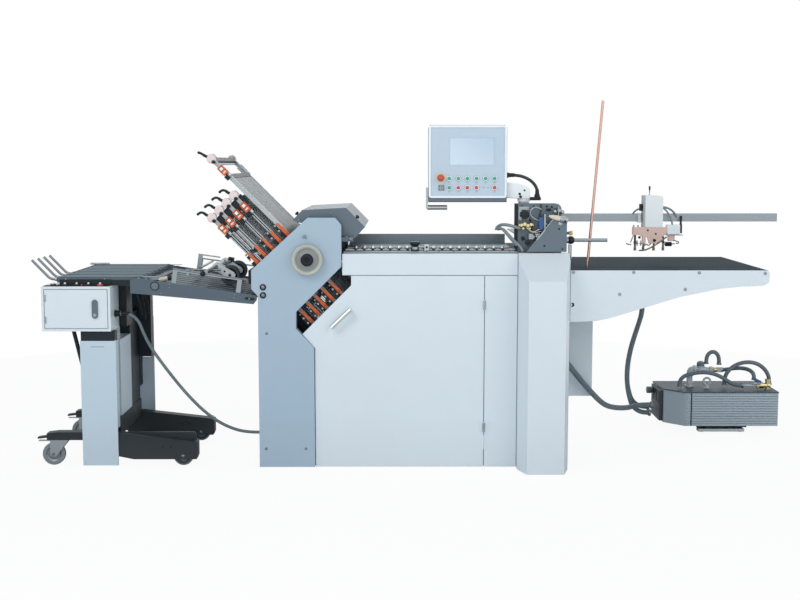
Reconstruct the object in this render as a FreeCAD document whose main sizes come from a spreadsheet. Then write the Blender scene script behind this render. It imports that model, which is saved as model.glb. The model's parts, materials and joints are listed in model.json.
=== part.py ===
import FreeCAD, Part
import math
import os
import Sketcher

# Floor-standing paper folding machine: buckle-plate fold unit, register table, suction feeder with
# a lift table, roller delivery on a wheeled stand, operator panel and a vacuum pump on the floor.
# Frame: millimetres, +X runs from the delivery to the feeder, +Y from the operator side to the
# back, +Z up. The origin is on the floor under the middle rail of the cabinet's base.

Vector = FreeCAD.Vector
doc = FreeCAD.newDocument("folding_machine")

# Driving dimensions. Positions across the machine (names ending in _y) count from the operator
# side's door plane, machine.front.
SIZES = {
    "machine": {"front": -380, "depth": 760, "gap": 0.3, "sheet": 3},
    "base": {
        "left": -606, "right": 690, "rail": 60, "inset_y": 40, "middle": 80, "post": 40,
        "post_left": -60, "post_right": 620, "ring_z": 790, "ring": 40, "pad_left": 400,
        "pad_right": 480, "motor_rail": 40,
    },
    "cabinet": {
        "door_left": -369, "door_right": 364, "door_foot": 4, "door_shoulder": 530,
        "cut_left": -423, "cut_low": 590, "cut_high": 803, "band_left": -211, "door_top": 845,
        "door_depth": 20, "seam": 3, "narrow_right": 507, "band_start": -249, "band_end": 509,
        "band_top": 939, "band_depth": 36, "wall_x": 700, "handle_x0": -297, "handle_z0": 622,
        "handle_x1": -211, "handle_z1": 704, "handle_r": 9, "handle_stand": 34,
        "hinge_low": 181, "hinge_high": 718, "hinge_h": 44, "hinge_leaf": 18, "hinge_r": 4,
        "hinge_y": 6.3, "leaf_t": 2, "gland_y": 200, "gland_z": 114, "gland_r": 12, "gland_l": 20,
        "port_x": 757, "port_y": 430, "port_z": 500, "port_r": 18, "port_l": 16,
        "ebox_right": 911, "ebox_foot": 228, "ebox_top": 610, "ebox_front_y": 480,
        "ebox_back_y": 700,
    },
    "column": {
        "left": 510, "right": 730, "nose_left": 544, "nose_right": 703, "nose": 130,
        "side": 36, "back_y": 40, "top": 942, "bevel_z": 830, "wall": 4,
    },
    "cover": {
        "left": -641, "left_low": -614, "right": -372, "foot": 5, "shoulder": 532,
        "open_left": -450, "open_low": 615, "open_mid": 688, "open_right": -253,
        "open_high": 885, "peak_right": 1064, "top_right": -279, "top": 1094, "top_left": -398,
        "slope_foot": 869, "notch_top": 787, "notch_low": 758, "front_y": -10, "depth": 50,
    },
    "fold": {
        "inset": 12, "plate": 18, "wheel_x": -398, "wheel_z": 916, "shaft_r": 12,
        "roller_r": 22, "journal_r": 10, "pitch": 45.25, "tie_r": 14,
        "tip_x": -815, "tip_z": 1093, "rail_h": 16, "rail_t": 10, "length": 380,
        "long": 178, "strip_w": 8, "strip_t": 3, "bar_w": 22, "disc_r": 20, "disc_t": 16,
        "count_at": 70, "count_l": 44, "count_h": 26, "count_t": 20, "lever_at": 276,
        "lever_l": 60, "lever_h": 13, "lever_t": 9, "pin_r": 3, "low_x": -486, "low_z": 739,
        "low_length": 380, "low_lever_at": 70, "hook": 34,
    },
    "hood": {
        "lip_x": -468, "lip_z": 1080, "ridge_left": -425, "ridge_left_z": 1126, "ridge_right": -234,
        "ridge_right_z": 1136,
        "brow_x": -152, "brow_z": 1052, "foot_right": -205, "foot_right_z": 993, "wall": 4,
        "pin_x": -215, "pin_z": 1000, "pin_r": 5,
    },
    "wheel": {"rim_r": 66, "rim_t": 22, "dish_r": 48, "dish_t": 8, "hub_r": 26, "hub_t": 34,
              "stand": 6},
    "table": {
        "left": -245, "right": 509, "front_y": 36, "top": 937, "plate": 12, "edge_w": 24, "edge_h": 10,
        "back_rail_y": 686, "back_rail_h": 50, "rail_w": 24, "rail_h": 10, "rail_a_y": 110,
        "rail_b_y": 330, "ball_r": 9, "ball_gap": 38, "balls": 18, "knob_x": 65, "knob_r": 18,
        "knob_h": 30,
    },
    "head": {
        "left": 545, "right": 719, "foot": 947, "top": 1100, "shoulder": 667, "plate": 12,
        "front_y": 10, "inner_y": 62, "inner_left": 496, "inner_right": 705,
        "inner_top": 1155, "back_y": 690, "tie_x": 668, "tie_z": 1046, "tie_w": 36,
        "tie_h": 64, "drum_x": 612, "drum_z": 902, "drum_r": 45, "drum_shaft": 10,
        "block_x": 556, "block_z": 1040, "block_w": 62, "block_h": 56, "motor_r": 17,
    },
    "bar": {"y": 400, "side": 37, "z": 1060, "end": 1740, "rod_z": 996, "rod_r": 8,
            "rod_end": 900, "rod_y": 52, "ball_r": 17},
    "sucker": {
        "left": 1115, "right": 1203, "foot": 1036, "top": 1183, "deep": 50, "strap": 10,
        "block_left": 1068, "block_right": 1225, "block_z": 999,
        "cup_r": 11, "cup_z": 928, "nozzle_r": 5, "side_box": 50, "cap_z": 1224,
    },
    "lift": {
        "left": 742, "right": 1587, "top": 868, "board": 16, "apron": 4, "arm_foot": 644,
        "arm_x": 737, "arm_right_x": 849, "arm_right_z": 648, "mid_x": 1211, "mid_z": 753,
        "low_x": 1382, "low_z": 788, "end_x": 1568, "end_z": 801, "nose_x": 1593,
        "nose_low": 814, "nose_high": 857, "rib_w": 30, "rib_h": 30, "bracket": 26,
        "guide": 40, "rod_x": 833, "rod_y": 150, "rod_r": 6, "rod_bend": 910, "rod_foot_x": 829,
        "rod_top_x": 887, "rod_top": 1600,
    },
    "panel": {
        "left": 126, "right": 464, "over_head": 2, "high": 333, "front_y": 96, "deep": 60,
        "post_x": 545, "post_y": 150, "post_r": 24, "post_up": 3, "collar_r": 28,
        "collar_h": 82, "arm_up": 19, "arm_h": 66, "arm_w": 44, "stop_x": 177, "stop_up": 107,
        "stop_r": 18, "stop_h": 22, "row": 214, "pitch": 39.6, "high_row_up": 105,
        "low_row_up": 65, "button_r": 9, "button_t": 8, "grip_x": 118, "grip_up": 46,
        "grip_down": 39, "grip_end": 179, "grip_r": 7, "screen_left": 217, "screen_right": 408,
        "screen_up": 163, "screen_h": 117, "screen_deep": 3, "lug_x": 604, "lug_up": 23,
        "boot_r": 11, "boot_l": 14, "cable_y": 126, "cable_up": 119,
    },
    "stand": {
        "left": -1556, "right": -892, "beam_y": 32, "beam_w": 52, "back_beam_y": 527,
        "left_foot": 115, "left_top": 150, "knee_x": -1400, "right_x": -1240, "right_top": 146,
        "right_low": 42, "heel_x": -1175, "heel_z": 29, "end_top": 107, "cross_z": 155,
        "cross_h": 55, "cross_left": -1330, "cross_right": -1240, "wheel_x": -957,
        "wheel_r": 44, "wheel_w": 28, "axle_r": 6, "cover_left": -1396, "cover_right": -1240,
        "cover_top": 557, "cover_foot": 3, "cover_y": 25, "cover_deep": 50, "notch_top": 170,
        "house_back_y": 324, "house_top": 550, "dark_top": 640, "back_cover_right": -1186,
        "back_cover_top": 399, "strip_w": 14, "strip_top": 596,
    },
    "caster": {
        "x": -1501, "trail": 30, "wheel_r": 50, "wheel_w": 26, "axle_r": 6,
        "fork_t": 5, "stem_r": 12, "stem_l": 20, "pedal": 52,
    },
    "column_post": {"foot": 268, "front_top": 600, "back_y": 530, "back_w": 58, "wide_z": 410},
    "deck": {
        "left": -1490, "right": -1130, "front_y": 64, "back_y": 740, "foot": 809, "top": 836,
        "plate": 6, "belts": 8, "belt_w": 46, "belt_t": 2, "roller_r": 10, "under": 13,
        "end_bar": 8, "rod_r": 6, "rod_y": 100, "rod_pitch": 92, "rod_bend_x": -1536, "rod_tip_x": -1616,
        "rod_tip_z": 905, "rods": 4,
    },
    "infeed": {
        "pivot_x": -1061, "pivot_z": 796, "slope": 8.2, "plate": 6, "front_y": 20,
        "left": -1170, "left_top": 833, "left_foot": 767, "right": -622, "right_top": 757,
        "right_foot": 719, "belts": 8, "belt_w": 46, "belt_t": 2, "roller_r": 16,
        "run": 408, "pin_r": 6, "bed": 30, "bed_t": 5,
    },
    "press": {
        "leg_a": 66, "leg_b": 348, "leg_top": 84, "leg_foot": 2.5, "leg_w": 20, "leg_t": 5,
        "post_at": 122, "post_y": 300, "post_h": 118, "arm_l": 100, "shaft_at": 208,
        "shaft_n": 84, "shaft_r": 9, "arm_t": 6, "wheel_at": 278, "wheel_n": 64,
        "wheel_r": 45, "wheel_w": 26, "wheel_a_y": 290, "wheel_b_y": 560, "axle_r": 6,
    },
    "box": {
        "left": -1558, "right": -1258, "foot": 600, "top": 796, "front_y": 20, "deep": 160,
        "wall": 3, "rim": 14, "door_t": 3, "gland_y": 100, "gland_z": 669, "gland_r": 12,
        "gland_l": 28, "knobs": 5, "knob_r": 9, "knob_h": 8, "pin_in": 2.3, "pin_out": 2,
        "pin_r": 3, "pin_l": 30,
    },
    "pump": {
        "left": 1308, "joint": 1437, "right": 1869, "foot": 34, "top": 200, "front_y": 700,
        "deep": 313, "chamfer": 110, "ribs": 12, "rib_d": 5, "rail_left": 1481,
        "rail_right": 1709, "rail_w": 40, "pipe_x": 1462, "pipe_y": 850,
        "pipe_r": 13, "pipe_z": 292, "filter_x": 1516, "filter_r": 17, "eye_x": 1540,
        "valve_x": 1770, "valve_y": 760, "valve_r": 11, "hose_r": 10, "nipple_r": 10.5,
        "loop_y": 800, "knob_r": 16, "grille": 8, "spigot_r": 15, "spigot_l": 30,
    },
    "hose": {"supply_r": 12, "column_r": 13, "box_r": 7, "panel_r": 7, "tray_z": 640,
             "tray_h": 24, "tray_y": 784, "tray_w": 68, "tray_start": 640, "tray_end": 1250},
}

# Corners of the hoses' and cables' routes, y counted from the door plane. The first and last
# runs leave their fittings straight.
ROUTES = {
    "pump_loop": [(1544, 850, 322), (1544, 850, 344), (1550, 850, 368), (1567, 850, 383),
                  (1586, 850, 383), (1603, 850, 368), (1609, 850, 342), (1609, 850, 318)],
    "pump_long": [(1625, 800, 224), (1625, 800, 252), (1635, 800, 284), (1660, 800, 312),
                  (1695, 800, 332), (1738, 800, 340), (1782, 800, 334), (1818, 800, 312),
                  (1842, 800, 280), (1850, 800, 250), (1850, 800, 224)],
    "pump_short": [(1620, 850, 292), (1640, 850, 292), (1664, 846, 297), (1692, 834, 303),
                   (1719, 815, 306), (1742, 791, 303), (1757, 770, 292), (1762, 760, 275),
                   (1762, 760, 256)],
    "pump_low": [(1398, 790, 218), (1398, 790, 240), (1410, 790, 262), (1436, 789, 277),
                 (1472, 787, 286), (1512, 784, 290), (1552, 780, 287), (1590, 775, 275),
                 (1624, 769, 255), (1652, 764, 237), (1680, 760, 228), (1710, 760, 228)],
    "box_cable": [(-1230, 100, 669), (-1190, 100, 669), (-1154, 104, 636), (-1136, 110, 582),
                  (-1106, 118, 514), (-1058, 129, 440), (-1004, 144, 361), (-946, 161, 284),
                  (-884, 177, 215), (-816, 189, 160), (-745, 197, 126), (-682, 200, 114),
                  (-626, 200, 114)],
    "panel_cable": [(478, 126, 1276), (502, 126, 1276), (530, 130, 1272), (558, 135, 1262),
                    (582, 141, 1246), (598, 147, 1226), (604, 150, 1208), (604, 150, 1194)],
    "supply_hose_a": [(1205, 800, 640), (1205, 800, 588), (1190, 805, 530), (1172, 810, 468),
                      (1156, 817, 404), (1146, 825, 338), (1143, 834, 272), (1148, 845, 208),
                      (1160, 857, 158), (1174, 866, 113), (1198, 872, 84), (1232, 872, 68),
                      (1270, 872, 68)],
    "supply_hose_b": [(1214, 834, 640), (1214, 834, 588), (1198, 840, 530), (1180, 846, 470),
                      (1164, 853, 408), (1153, 861, 344), (1149, 870, 282), (1152, 881, 226),
                      (1163, 893, 178), (1178, 904, 134), (1201, 914, 106), (1234, 914, 90),
                      (1270, 914, 90)],
    "column_hose": [(757, 430, 484), (757, 430, 444), (776, 431, 408), (806, 433, 368),
                    (846, 437, 318), (886, 446, 272), (924, 466, 230), (962, 506, 192),
                    (1000, 556, 164), (1048, 618, 144), (1094, 684, 129), (1137, 747, 119),
                    (1171, 797, 116), (1200, 818, 116), (1234, 830, 116), (1270, 830, 116)],
}


class Size:
    """A number that remembers how it comes from the sheet's cells."""

    def __init__(self, value, text):
        self.value = float(value)
        self.text = text

    def _join(self, other, sign, result):
        return Size(result, "(%s %s %s)" % (self.text, sign, words(other)))

    def __add__(self, other):
        return self._join(other, "+", self.value + number(other))

    def __sub__(self, other):
        return self._join(other, "-", self.value - number(other))

    def __mul__(self, other):
        return self._join(other, "*", self.value * number(other))

    def __truediv__(self, other):
        return self._join(other, "/", self.value / number(other))

    def __radd__(self, other):
        return Size(other, repr(other)) + self

    def __rsub__(self, other):
        return Size(other, repr(other)) - self

    def __rmul__(self, other):
        return Size(other, repr(other)) * self

    def __neg__(self):
        return Size(-self.value, "(-%s)" % self.text)


def number(item):
    return item.value if isinstance(item, Size) else float(item)


def words(item):
    return item.text if isinstance(item, Size) else repr(item)


def sine(angle):
    return Size(math.sin(math.radians(angle.value)), "sin(%s * 1 deg)" % angle.text)


def cosine(angle):
    return Size(math.cos(math.radians(angle.value)), "cos(%s * 1 deg)" % angle.text)


class Group:
    """The sizes of one sub-assembly, read as attributes."""


def make_sheet():
    sheet = doc.addObject("Spreadsheet::Sheet", "Sizes")
    groups = {}
    row = 0
    for name, entries in SIZES.items():
        group = Group()
        for key, value in entries.items():
            row += 1
            alias = name + "_" + key
            sheet.set("A%d" % row, alias)
            sheet.set("B%d" % row, str(value))
            sheet.setAlias("B%d" % row, alias)
            setattr(group, key, Size(value, "Sizes." + alias))
        groups[name] = group
    doc.recompute()
    return groups


G = make_sheet()
machine, base, cabinet, column, cover = (G[n] for n in ("machine", "base", "cabinet", "column", "cover"))
fold, hood, wheel, table, head = (G[n] for n in ("fold", "hood", "wheel", "table", "head"))
bar, sucker, lift, panel, stand = (G[n] for n in ("bar", "sucker", "lift", "panel", "stand"))
caster, post, deck, infeed, press = (G[n] for n in ("caster", "column_post", "deck", "infeed", "press"))
box, pump, hose = (G[n] for n in ("box", "pump", "hose"))
F = machine.front
BACK = machine.front + machine.depth
HALF = 0.70710678
NODES = []


# ---------------------------------------------------------------- building blocks
def bind(item, prop, size):
    if isinstance(size, Size):
        item.setExpression(prop, size.text)
    else:
        setattr(item, prop, size)


def place(item, x, y, z, axis=(0, 0, 1), angle=0):
    turn = FreeCAD.Rotation(Vector(*axis), number(angle))
    item.Placement = FreeCAD.Placement(Vector(number(x), number(y), number(z)), turn)
    for path, size in (("x", x), ("y", y), ("z", z)):
        if isinstance(size, Size):
            item.setExpression("Placement.Base." + path, size.text)
    if isinstance(angle, Size):
        item.setExpression("Placement.Rotation.Angle", angle.text)
    return item


def block(x, y, z, dx, dy, dz):
    item = doc.addObject("Part::Box", "block")
    for prop, size in (("Length", dx), ("Width", dy), ("Height", dz)):
        bind(item, prop, size)
    return place(item, x, y, z)


def span(x0, x1, y0, y1, z0, z1):
    """A block between two corners."""
    return block(x0, y0, z0, x1 - x0, y1 - y0, z1 - z0)


def rod(x, y, z, radius, length, along="Y"):
    item = doc.addObject("Part::Cylinder", "rod")
    bind(item, "Radius", radius)
    bind(item, "Height", length)
    axis, angle = {"X": ((0, 1, 0), 90), "Y": ((1, 0, 0), -90), "Z": ((0, 0, 1), 0)}[along]
    return place(item, x, y, z, axis, angle)


def ball(x, y, z, radius):
    item = doc.addObject("Part::Sphere", "ball")
    bind(item, "Radius", radius)
    return place(item, x, y, z)


def cone(x, y, z, low_r, high_r, height):
    item = doc.addObject("Part::Cone", "cone")
    for prop, size in (("Radius1", low_r), ("Radius2", high_r), ("Height", height)):
        bind(item, prop, size)
    return place(item, x, y, z)


def ring(x, y, z, mean_r, wire_r):
    item = doc.addObject("Part::Torus", "ring")
    bind(item, "Radius1", mean_r)
    bind(item, "Radius2", wire_r)
    return place(item, x, y, z, (1, 0, 0), 90)


def draw(body, plane, points, holes=(), bends=None):
    """A closed outline on one of the body's origin planes, each corner tied to its sizes.
    bends maps a side's number to the (x, y) of a point that its arc passes through, and, for an
    upright chord, the x of the arc's centre."""
    sketch = body.newObject("Sketcher::SketchObject", "outline")
    support = [f for f in body.Origin.OriginFeatures if f.Role == plane][0]
    sketch.AttachmentSupport = [(support, "")]
    sketch.MapMode = "FlatFace"
    flat = [Vector(number(x), number(y), 0) for x, y in points]
    count = len(flat)
    arcs = bends or {}
    for i in range(count):
        start, end = flat[i], flat[(i + 1) % count]
        if i in arcs:
            middle = Vector(number(arcs[i][0]), number(arcs[i][1]), 0)
            sketch.addGeometry(Part.Arc(start, middle, end))
        else:
            sketch.addGeometry(Part.LineSegment(start, end))
    ends = []
    for i in range(count):
        ends.append(arc_ends(sketch, i, flat[i]))
    for i in range(count):
        after = (i + 1) % count
        sketch.addConstraint(Sketcher.Constraint("Coincident", i, ends[i][1], after, ends[after][0]))
    for i, (x, y) in enumerate(points):
        tie(sketch, "DistanceX", i, ends[i][0], x)
        tie(sketch, "DistanceY", i, ends[i][0], y)
    for i, bend in arcs.items():
        centre = sketch.Geometry[i].Center
        chord = flat[(i + 1) % count] - flat[i]
        if abs(chord.x) > abs(chord.y):
            tie(sketch, "DistanceY", i, 3, centre.y)
        else:
            tie(sketch, "DistanceX", i, 3, bend[2] if len(bend) > 2 else centre.x)
    for x, y, radius in holes:
        index = sketch.addGeometry(Part.Circle(Vector(number(x), number(y), 0), Vector(0, 0, 1),
                                               number(radius)))
        tie(sketch, "DistanceX", index, 3, x)
        tie(sketch, "DistanceY", index, 3, y)
        slot = sketch.addConstraint(Sketcher.Constraint("Radius", index, number(radius)))
        if isinstance(radius, Size):
            sketch.setExpression("Constraints[%d]" % slot, radius.text)
    return sketch


def arc_ends(sketch, index, start):
    """Which end of a side lies at its start: an arc may be stored the other way round."""
    side = sketch.Geometry[index]
    if isinstance(side, Part.LineSegment) or side.StartPoint.distanceToPoint(start) < 1e-6:
        return 1, 2
    return 2, 1


def tie(sketch, kind, index, end, size):
    slot = sketch.addConstraint(Sketcher.Constraint(kind, -1, 1, index, end, number(size)))
    if isinstance(size, Size):
        sketch.setExpression("Constraints[%d]" % slot, size.text)


def prism(plane, points, start, length, holes=(), bends=None):
    """A plate: the outline on a plane, padded along +X, +Y or +Z from start."""
    body = doc.addObject("PartDesign::Body", "plate")
    sketch = draw(body, plane, points, holes, bends)
    pad = body.newObject("PartDesign::Pad", "pad")
    pad.Profile = sketch
    pad.Reversed = plane == "XZ_Plane"
    bind(pad, "Length", length)
    zero = {"XZ_Plane": (0, start, 0), "YZ_Plane": (start, 0, 0), "XY_Plane": (0, 0, start)}[plane]
    return place(body, *zero)


def tray(plane, points, start, length, wall, open_far=True, bends=None):
    """A folded sheet tray: a prism hollowed to its wall with one end face left open."""
    body = prism(plane, points, start, length, (), bends)
    doc.recompute()
    pad = body.Tip
    axis = {"XZ_Plane": 1, "YZ_Plane": 0, "XY_Plane": 2}[plane]
    target = number(length) if open_far else 0.0
    faces = enumerate(pad.Shape.Faces, 1)
    at_end = [i for i, face in faces if abs(face.CenterOfMass[axis] - target) < 1e-4]
    shell = body.newObject("PartDesign::Thickness", "shell")
    shell.Base = (pad, ["Face%d" % at_end[0]])
    bind(shell, "Value", wall)
    shell.Reversed = True
    shell.Join = 1
    return body


def turned(profile, x, y, z):
    """A body of revolution about the Y direction: profile gives (radius, depth) corners."""
    body = doc.addObject("PartDesign::Body", "turned")
    sketch = draw(body, "XY_Plane", profile)
    spin = body.newObject("PartDesign::Revolution", "spin")
    spin.Profile = sketch
    spin.ReferenceAxis = (sketch, ["V_Axis"])
    spin.Angle = 360
    return place(body, x, y, z)


def fuse(items):
    item = doc.addObject("Part::MultiFuse", "joined")
    item.Shapes = items
    return item


def cut(main, tools):
    item = doc.addObject("Part::Cut", "cut")
    item.Base = main
    item.Tool = tools[0] if len(tools) == 1 else group(tools)
    return item


def group(items):
    item = doc.addObject("Part::Compound", "group")
    item.Links = items
    return item


def node(label, item):
    """Registers a finished sub-part under the name of its file."""
    if isinstance(item, list):
        item = item[0] if len(item) == 1 else group(item)
    item.Label = label
    NODES.append(item)
    return item


def at(number_or_size):
    """A position across the machine, counted from the door plane."""
    return F + number_or_size


def hose_shape(points, radius):
    """A tube of straight runs joined by tangent arcs, each as large as its runs allow."""
    corners = [Vector(*p) for p in points]
    edges = []
    radii = []
    last = corners[0]
    for i in range(1, len(corners) - 1):
        before = corners[i - 1] - corners[i]
        after = corners[i + 1] - corners[i]
        run = min(before.Length, after.Length)
        half_turn = (math.pi - before.getAngle(after)) / 2
        reach = 0.45 * run
        radii.append(reach / math.tan(half_turn))
        before.normalize()
        after.normalize()
        enter = corners[i] + before * reach
        leave = corners[i] + after * reach
        towards = (before + after).normalize()
        middle_at = radii[-1] * (1 / math.cos(half_turn) - 1)
        edges.append(Part.LineSegment(last, enter).toShape())
        edges.append(Part.Arc(enter, corners[i] + towards * middle_at, leave).toShape())
        last = leave
    edges.append(Part.LineSegment(last, corners[-1]).toShape())
    path = Part.Wire(edges)
    start = corners[0]
    along = corners[1] - corners[0]
    section = Part.Wire([Part.Circle(start, along, radius).toShape()])
    tube = path.makePipeShell([section], True, False)
    expected = math.pi * radius ** 2 * path.Length
    return tube, path.Length, min(radii), tube.Volume / expected


def corners(name, start, end):
    """The corners of a route, its first and last runs moved with the fittings that hold them."""
    points = [Vector(x, number(F) + y, z) for x, y, z in ROUTES[name]]
    at_start = Vector(*[number(c) for c in start]) - points[0]
    at_end = Vector(*[number(c) for c in end]) - points[-1]
    first = [points[0] + at_start, points[1] + at_start]
    last = [points[-2] + at_end, points[-1] + at_end]
    return first + points[2:-2] + last


def tube(label, points, radius):
    """One hose or cable as a sub-part of its own, its corners taken from the sheet's values."""
    item = doc.addObject("Part::Feature", label)
    flat = [tuple(number(c) for c in p) for p in points]
    item.Shape, length, tightest, ratio = hose_shape(flat, number(radius))
    facts = (label, length, tightest, ratio)
    print("%-14s length %.0f mm, tightest arc %.0f mm, volume ratio %.4f" % facts)
    return item


# ---------------------------------------------------------------- cabinet and its base
def make_base():
    front_rail = at(base.inset_y)
    back_rail = BACK - base.inset_y - base.rail
    inner_front = front_rail + base.rail
    parts = [
        span(base.left, base.right, front_rail, inner_front, 0, base.rail),
        span(base.left, base.right, back_rail, back_rail + base.rail, 0, base.rail),
        span(base.left, base.left + base.rail, inner_front, back_rail, 0, base.rail),
        span(base.right - base.rail, base.right, inner_front, back_rail, 0, base.rail),
        span(-base.middle / 2, base.middle / 2, inner_front, back_rail, 0, base.rail),
    ]
    ring_top = base.ring_z + base.ring
    post_back = back_rail + base.rail - base.post
    for x in (base.post_left, base.post_right):
        for y in (front_rail, post_back):
            parts.append(span(x, x + base.post, y, y + base.post, base.rail, base.ring_z))
        parts.append(span(x, x + base.post, front_rail + base.post, post_back, base.ring_z, ring_top))
    for y in (front_rail, post_back):
        parts.append(span(base.post_left, base.post_right + base.post, y, y + base.post, base.ring_z,
                          ring_top))
    skin = F + machine.sheet
    parts.append(span(base.pad_left, base.pad_right, skin, front_rail, 10, base.rail - 10))
    parts.append(span(base.pad_left, base.pad_right, skin, front_rail, base.ring_z + 5, ring_top - 5))
    for k in (0, 1):
        y = at(440 + 130 * k)
        parts.append(span(base.left + base.rail, -base.middle / 2, y, y + base.motor_rail, base.rail - 30,
                          base.rail))
    parts.append(span(column.right, lift.arm_x, at(6), at(36), 440, cabinet.band_top - 10))
    parts.append(span(cabinet.wall_x + machine.sheet, lift.arm_x, BACK - 34, BACK - 4, 440, ring_top))
    node("base_frame", parts)


def make_cabinet():
    c = cabinet
    seam = c.seam
    band = tray("XZ_Plane", [
        (c.band_start, c.door_top + seam), (c.band_end, c.door_top + seam),
        (c.band_end, c.band_top), (c.band_start, c.band_top)], F, c.band_depth, machine.sheet)
    narrow = tray("XZ_Plane", [
        (c.door_right + seam, c.door_foot), (c.narrow_right, c.door_foot),
        (c.narrow_right, c.door_top), (c.door_right + seam, c.door_top)], F, c.door_depth, machine.sheet)
    back = prism("XZ_Plane", [
        (cover.right + seam, c.door_foot), (c.wall_x, c.door_foot), (c.wall_x, c.band_top),
        (cover.open_right + seam, c.band_top), (cover.open_right + seam, cover.open_high - 5),
        (cover.right + seam, cover.open_high - 5 - (cover.open_right - cover.right))],
        BACK - machine.sheet, machine.sheet)
    wall_face = c.wall_x + machine.sheet
    wall_top = base.ring_z + base.ring
    wall = span(c.wall_x, wall_face, at(column.back_y), BACK, base.rail, wall_top)
    left_wall = span(base.left, base.left + machine.sheet, at(60), at(700), base.rail, cover.notch_low - 60)
    ebox = span(wall_face, c.ebox_right, at(c.ebox_front_y), at(c.ebox_back_y), c.ebox_foot, c.ebox_top)
    gland = rod(base.left - c.gland_l, at(c.gland_y), c.gland_z, c.gland_r, c.gland_l, "X")
    port = fuse([span(wall_face, c.port_x + c.port_r, at(c.port_y) - c.port_r, at(c.port_y) + c.port_r,
                      c.port_z, c.port_z + 40),
                 rod(c.port_x, at(c.port_y), c.port_z - c.port_l, c.port_r, c.port_l, "Z")])
    shelf = fuse([
        span(hose.tray_start, hose.tray_end, at(hose.tray_y), at(hose.tray_y + hose.tray_w), hose.tray_z,
             hose.tray_z + hose.tray_h),
        span(hose.tray_start, c.wall_x, BACK, at(hose.tray_y), hose.tray_z, hose.tray_z + hose.tray_h)])
    leaves = [hinge_half(z, False) for z in (c.hinge_low, c.hinge_high)]
    node("cabinet_panels", [band, narrow, back, wall, left_wall, ebox, gland, port, shelf] + leaves)


def hinge_half(middle, on_door):
    """One leaf of a door hinge: the door carries the upper knuckle, the fixed panel the lower."""
    c = cabinet
    pin_x = c.door_right + c.seam / 2
    pin_y = F - c.hinge_y
    half = c.hinge_h / 2
    low = middle + machine.gap if on_door else middle - half
    knuckle = rod(pin_x, pin_y, low, c.hinge_r, half - machine.gap, "Z")
    edge = c.door_right - c.hinge_leaf if on_door else c.door_right + c.seam
    leaf = block(edge, F - c.leaf_t, middle - half, c.hinge_leaf, c.leaf_t, c.hinge_h)
    bridge_x = pin_x - 8 if on_door else pin_x
    bridge = block(bridge_x, F - c.hinge_y, low, 8, c.hinge_y - c.leaf_t / 2, half - machine.gap)
    return fuse([knuckle, leaf, bridge])


def make_door():
    c = cabinet
    skin = tray("XZ_Plane", [
        (c.door_left, c.door_foot), (c.door_right, c.door_foot), (c.door_right, c.door_top),
        (c.band_left, c.door_top), (c.band_left, c.cut_high), (c.cut_left, c.cut_low),
        (c.door_left, c.door_shoulder)], F, c.door_depth, machine.sheet)
    run_x = c.handle_x1 - c.handle_x0
    run_z = c.handle_z1 - c.handle_z0
    length = math.hypot(number(run_x), number(run_z))
    grip = doc.addObject("Part::Cylinder", "grip")
    bind(grip, "Radius", c.handle_r)
    grip.Height = length
    turn = FreeCAD.Rotation(Vector(0, 0, 1), Vector(number(run_x), 0, number(run_z)))
    grip.Placement = FreeCAD.Placement(Vector(), turn)
    for path, size in (("x", c.handle_x0), ("y", F - c.handle_stand), ("z", c.handle_z0)):
        grip.setExpression("Placement.Base." + path, size.text)
    feet = []
    for share in (0.08, 0.92):
        feet.append(rod(c.handle_x0 + run_x * share, F - c.handle_stand, c.handle_z0 + run_z * share,
                        c.handle_r - 2, c.handle_stand))
    handle = fuse([grip] + feet)
    leaves = [hinge_half(z, True) for z in (c.hinge_low, c.hinge_high)]
    node("cabinet_door", [skin, handle] + leaves)


def make_column():
    c = column
    front = F - c.nose
    outline = [(c.left, at(c.back_y)), (c.left, F - c.side), (c.nose_left, front),
               (c.nose_right, front), (c.right, F - c.side), (c.right, at(c.back_y))]
    solid = prism("XY_Plane", outline, 0, c.top)
    inner = [(c.left + c.wall, at(c.back_y + 1)), (c.left + c.wall, F - c.side + 2),
             (c.nose_left + 3, front + c.wall), (c.nose_right - 3, front + c.wall),
             (c.right - c.wall, F - c.side + 2), (c.right - c.wall, at(c.back_y + 1))]
    hollow = prism("XY_Plane", inner, 0, c.top - c.wall)
    bevel = [(front - 1, c.bevel_z), (F, c.top), (F, c.top + 40), (front - 1, c.top + 40)]
    wedge = prism("YZ_Plane", bevel, c.left - 5, c.right - c.left + 10)
    skin = [(front, c.bevel_z), (F, c.top), (F, c.top - 6), (front, c.bevel_z - 6)]
    lid = prism("YZ_Plane", skin, c.left + c.wall, c.right - c.left - 2 * c.wall)
    shape = cut(solid, [fuse([wedge, hollow])])
    capped = doc.addObject("Part::MultiCommon", "lid")
    capped.Shapes = [lid, cut_copy(outline)]
    node("column_cover", fuse([shape, capped]))


def cut_copy(outline):
    return prism("XY_Plane", outline, 0, column.top)


# ---------------------------------------------------------------- fold unit
def cover_outline(inset=0, foot=None):
    c = cover
    return [
        (c.left_low + inset, c.foot if foot is None else foot),
        (c.right - inset, c.foot if foot is None else foot),
        (c.right - inset, c.shoulder + inset * 0.4), (c.open_left - inset, c.open_low + inset * 0.4),
        (c.open_left - inset, c.open_mid + inset * 0.4), (c.open_right - inset, c.open_high + inset * 0.4),
        (c.open_right - inset, c.peak_right - inset * 0.4), (c.top_right - inset * 0.4, c.top - inset),
        (c.top_left + inset * 0.4, c.top - inset), (c.left + inset, c.slope_foot - inset * 0.4),
        (c.left + inset, c.notch_top + inset * 0.4), (c.left_low + inset, c.notch_low + inset * 0.4)]


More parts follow.
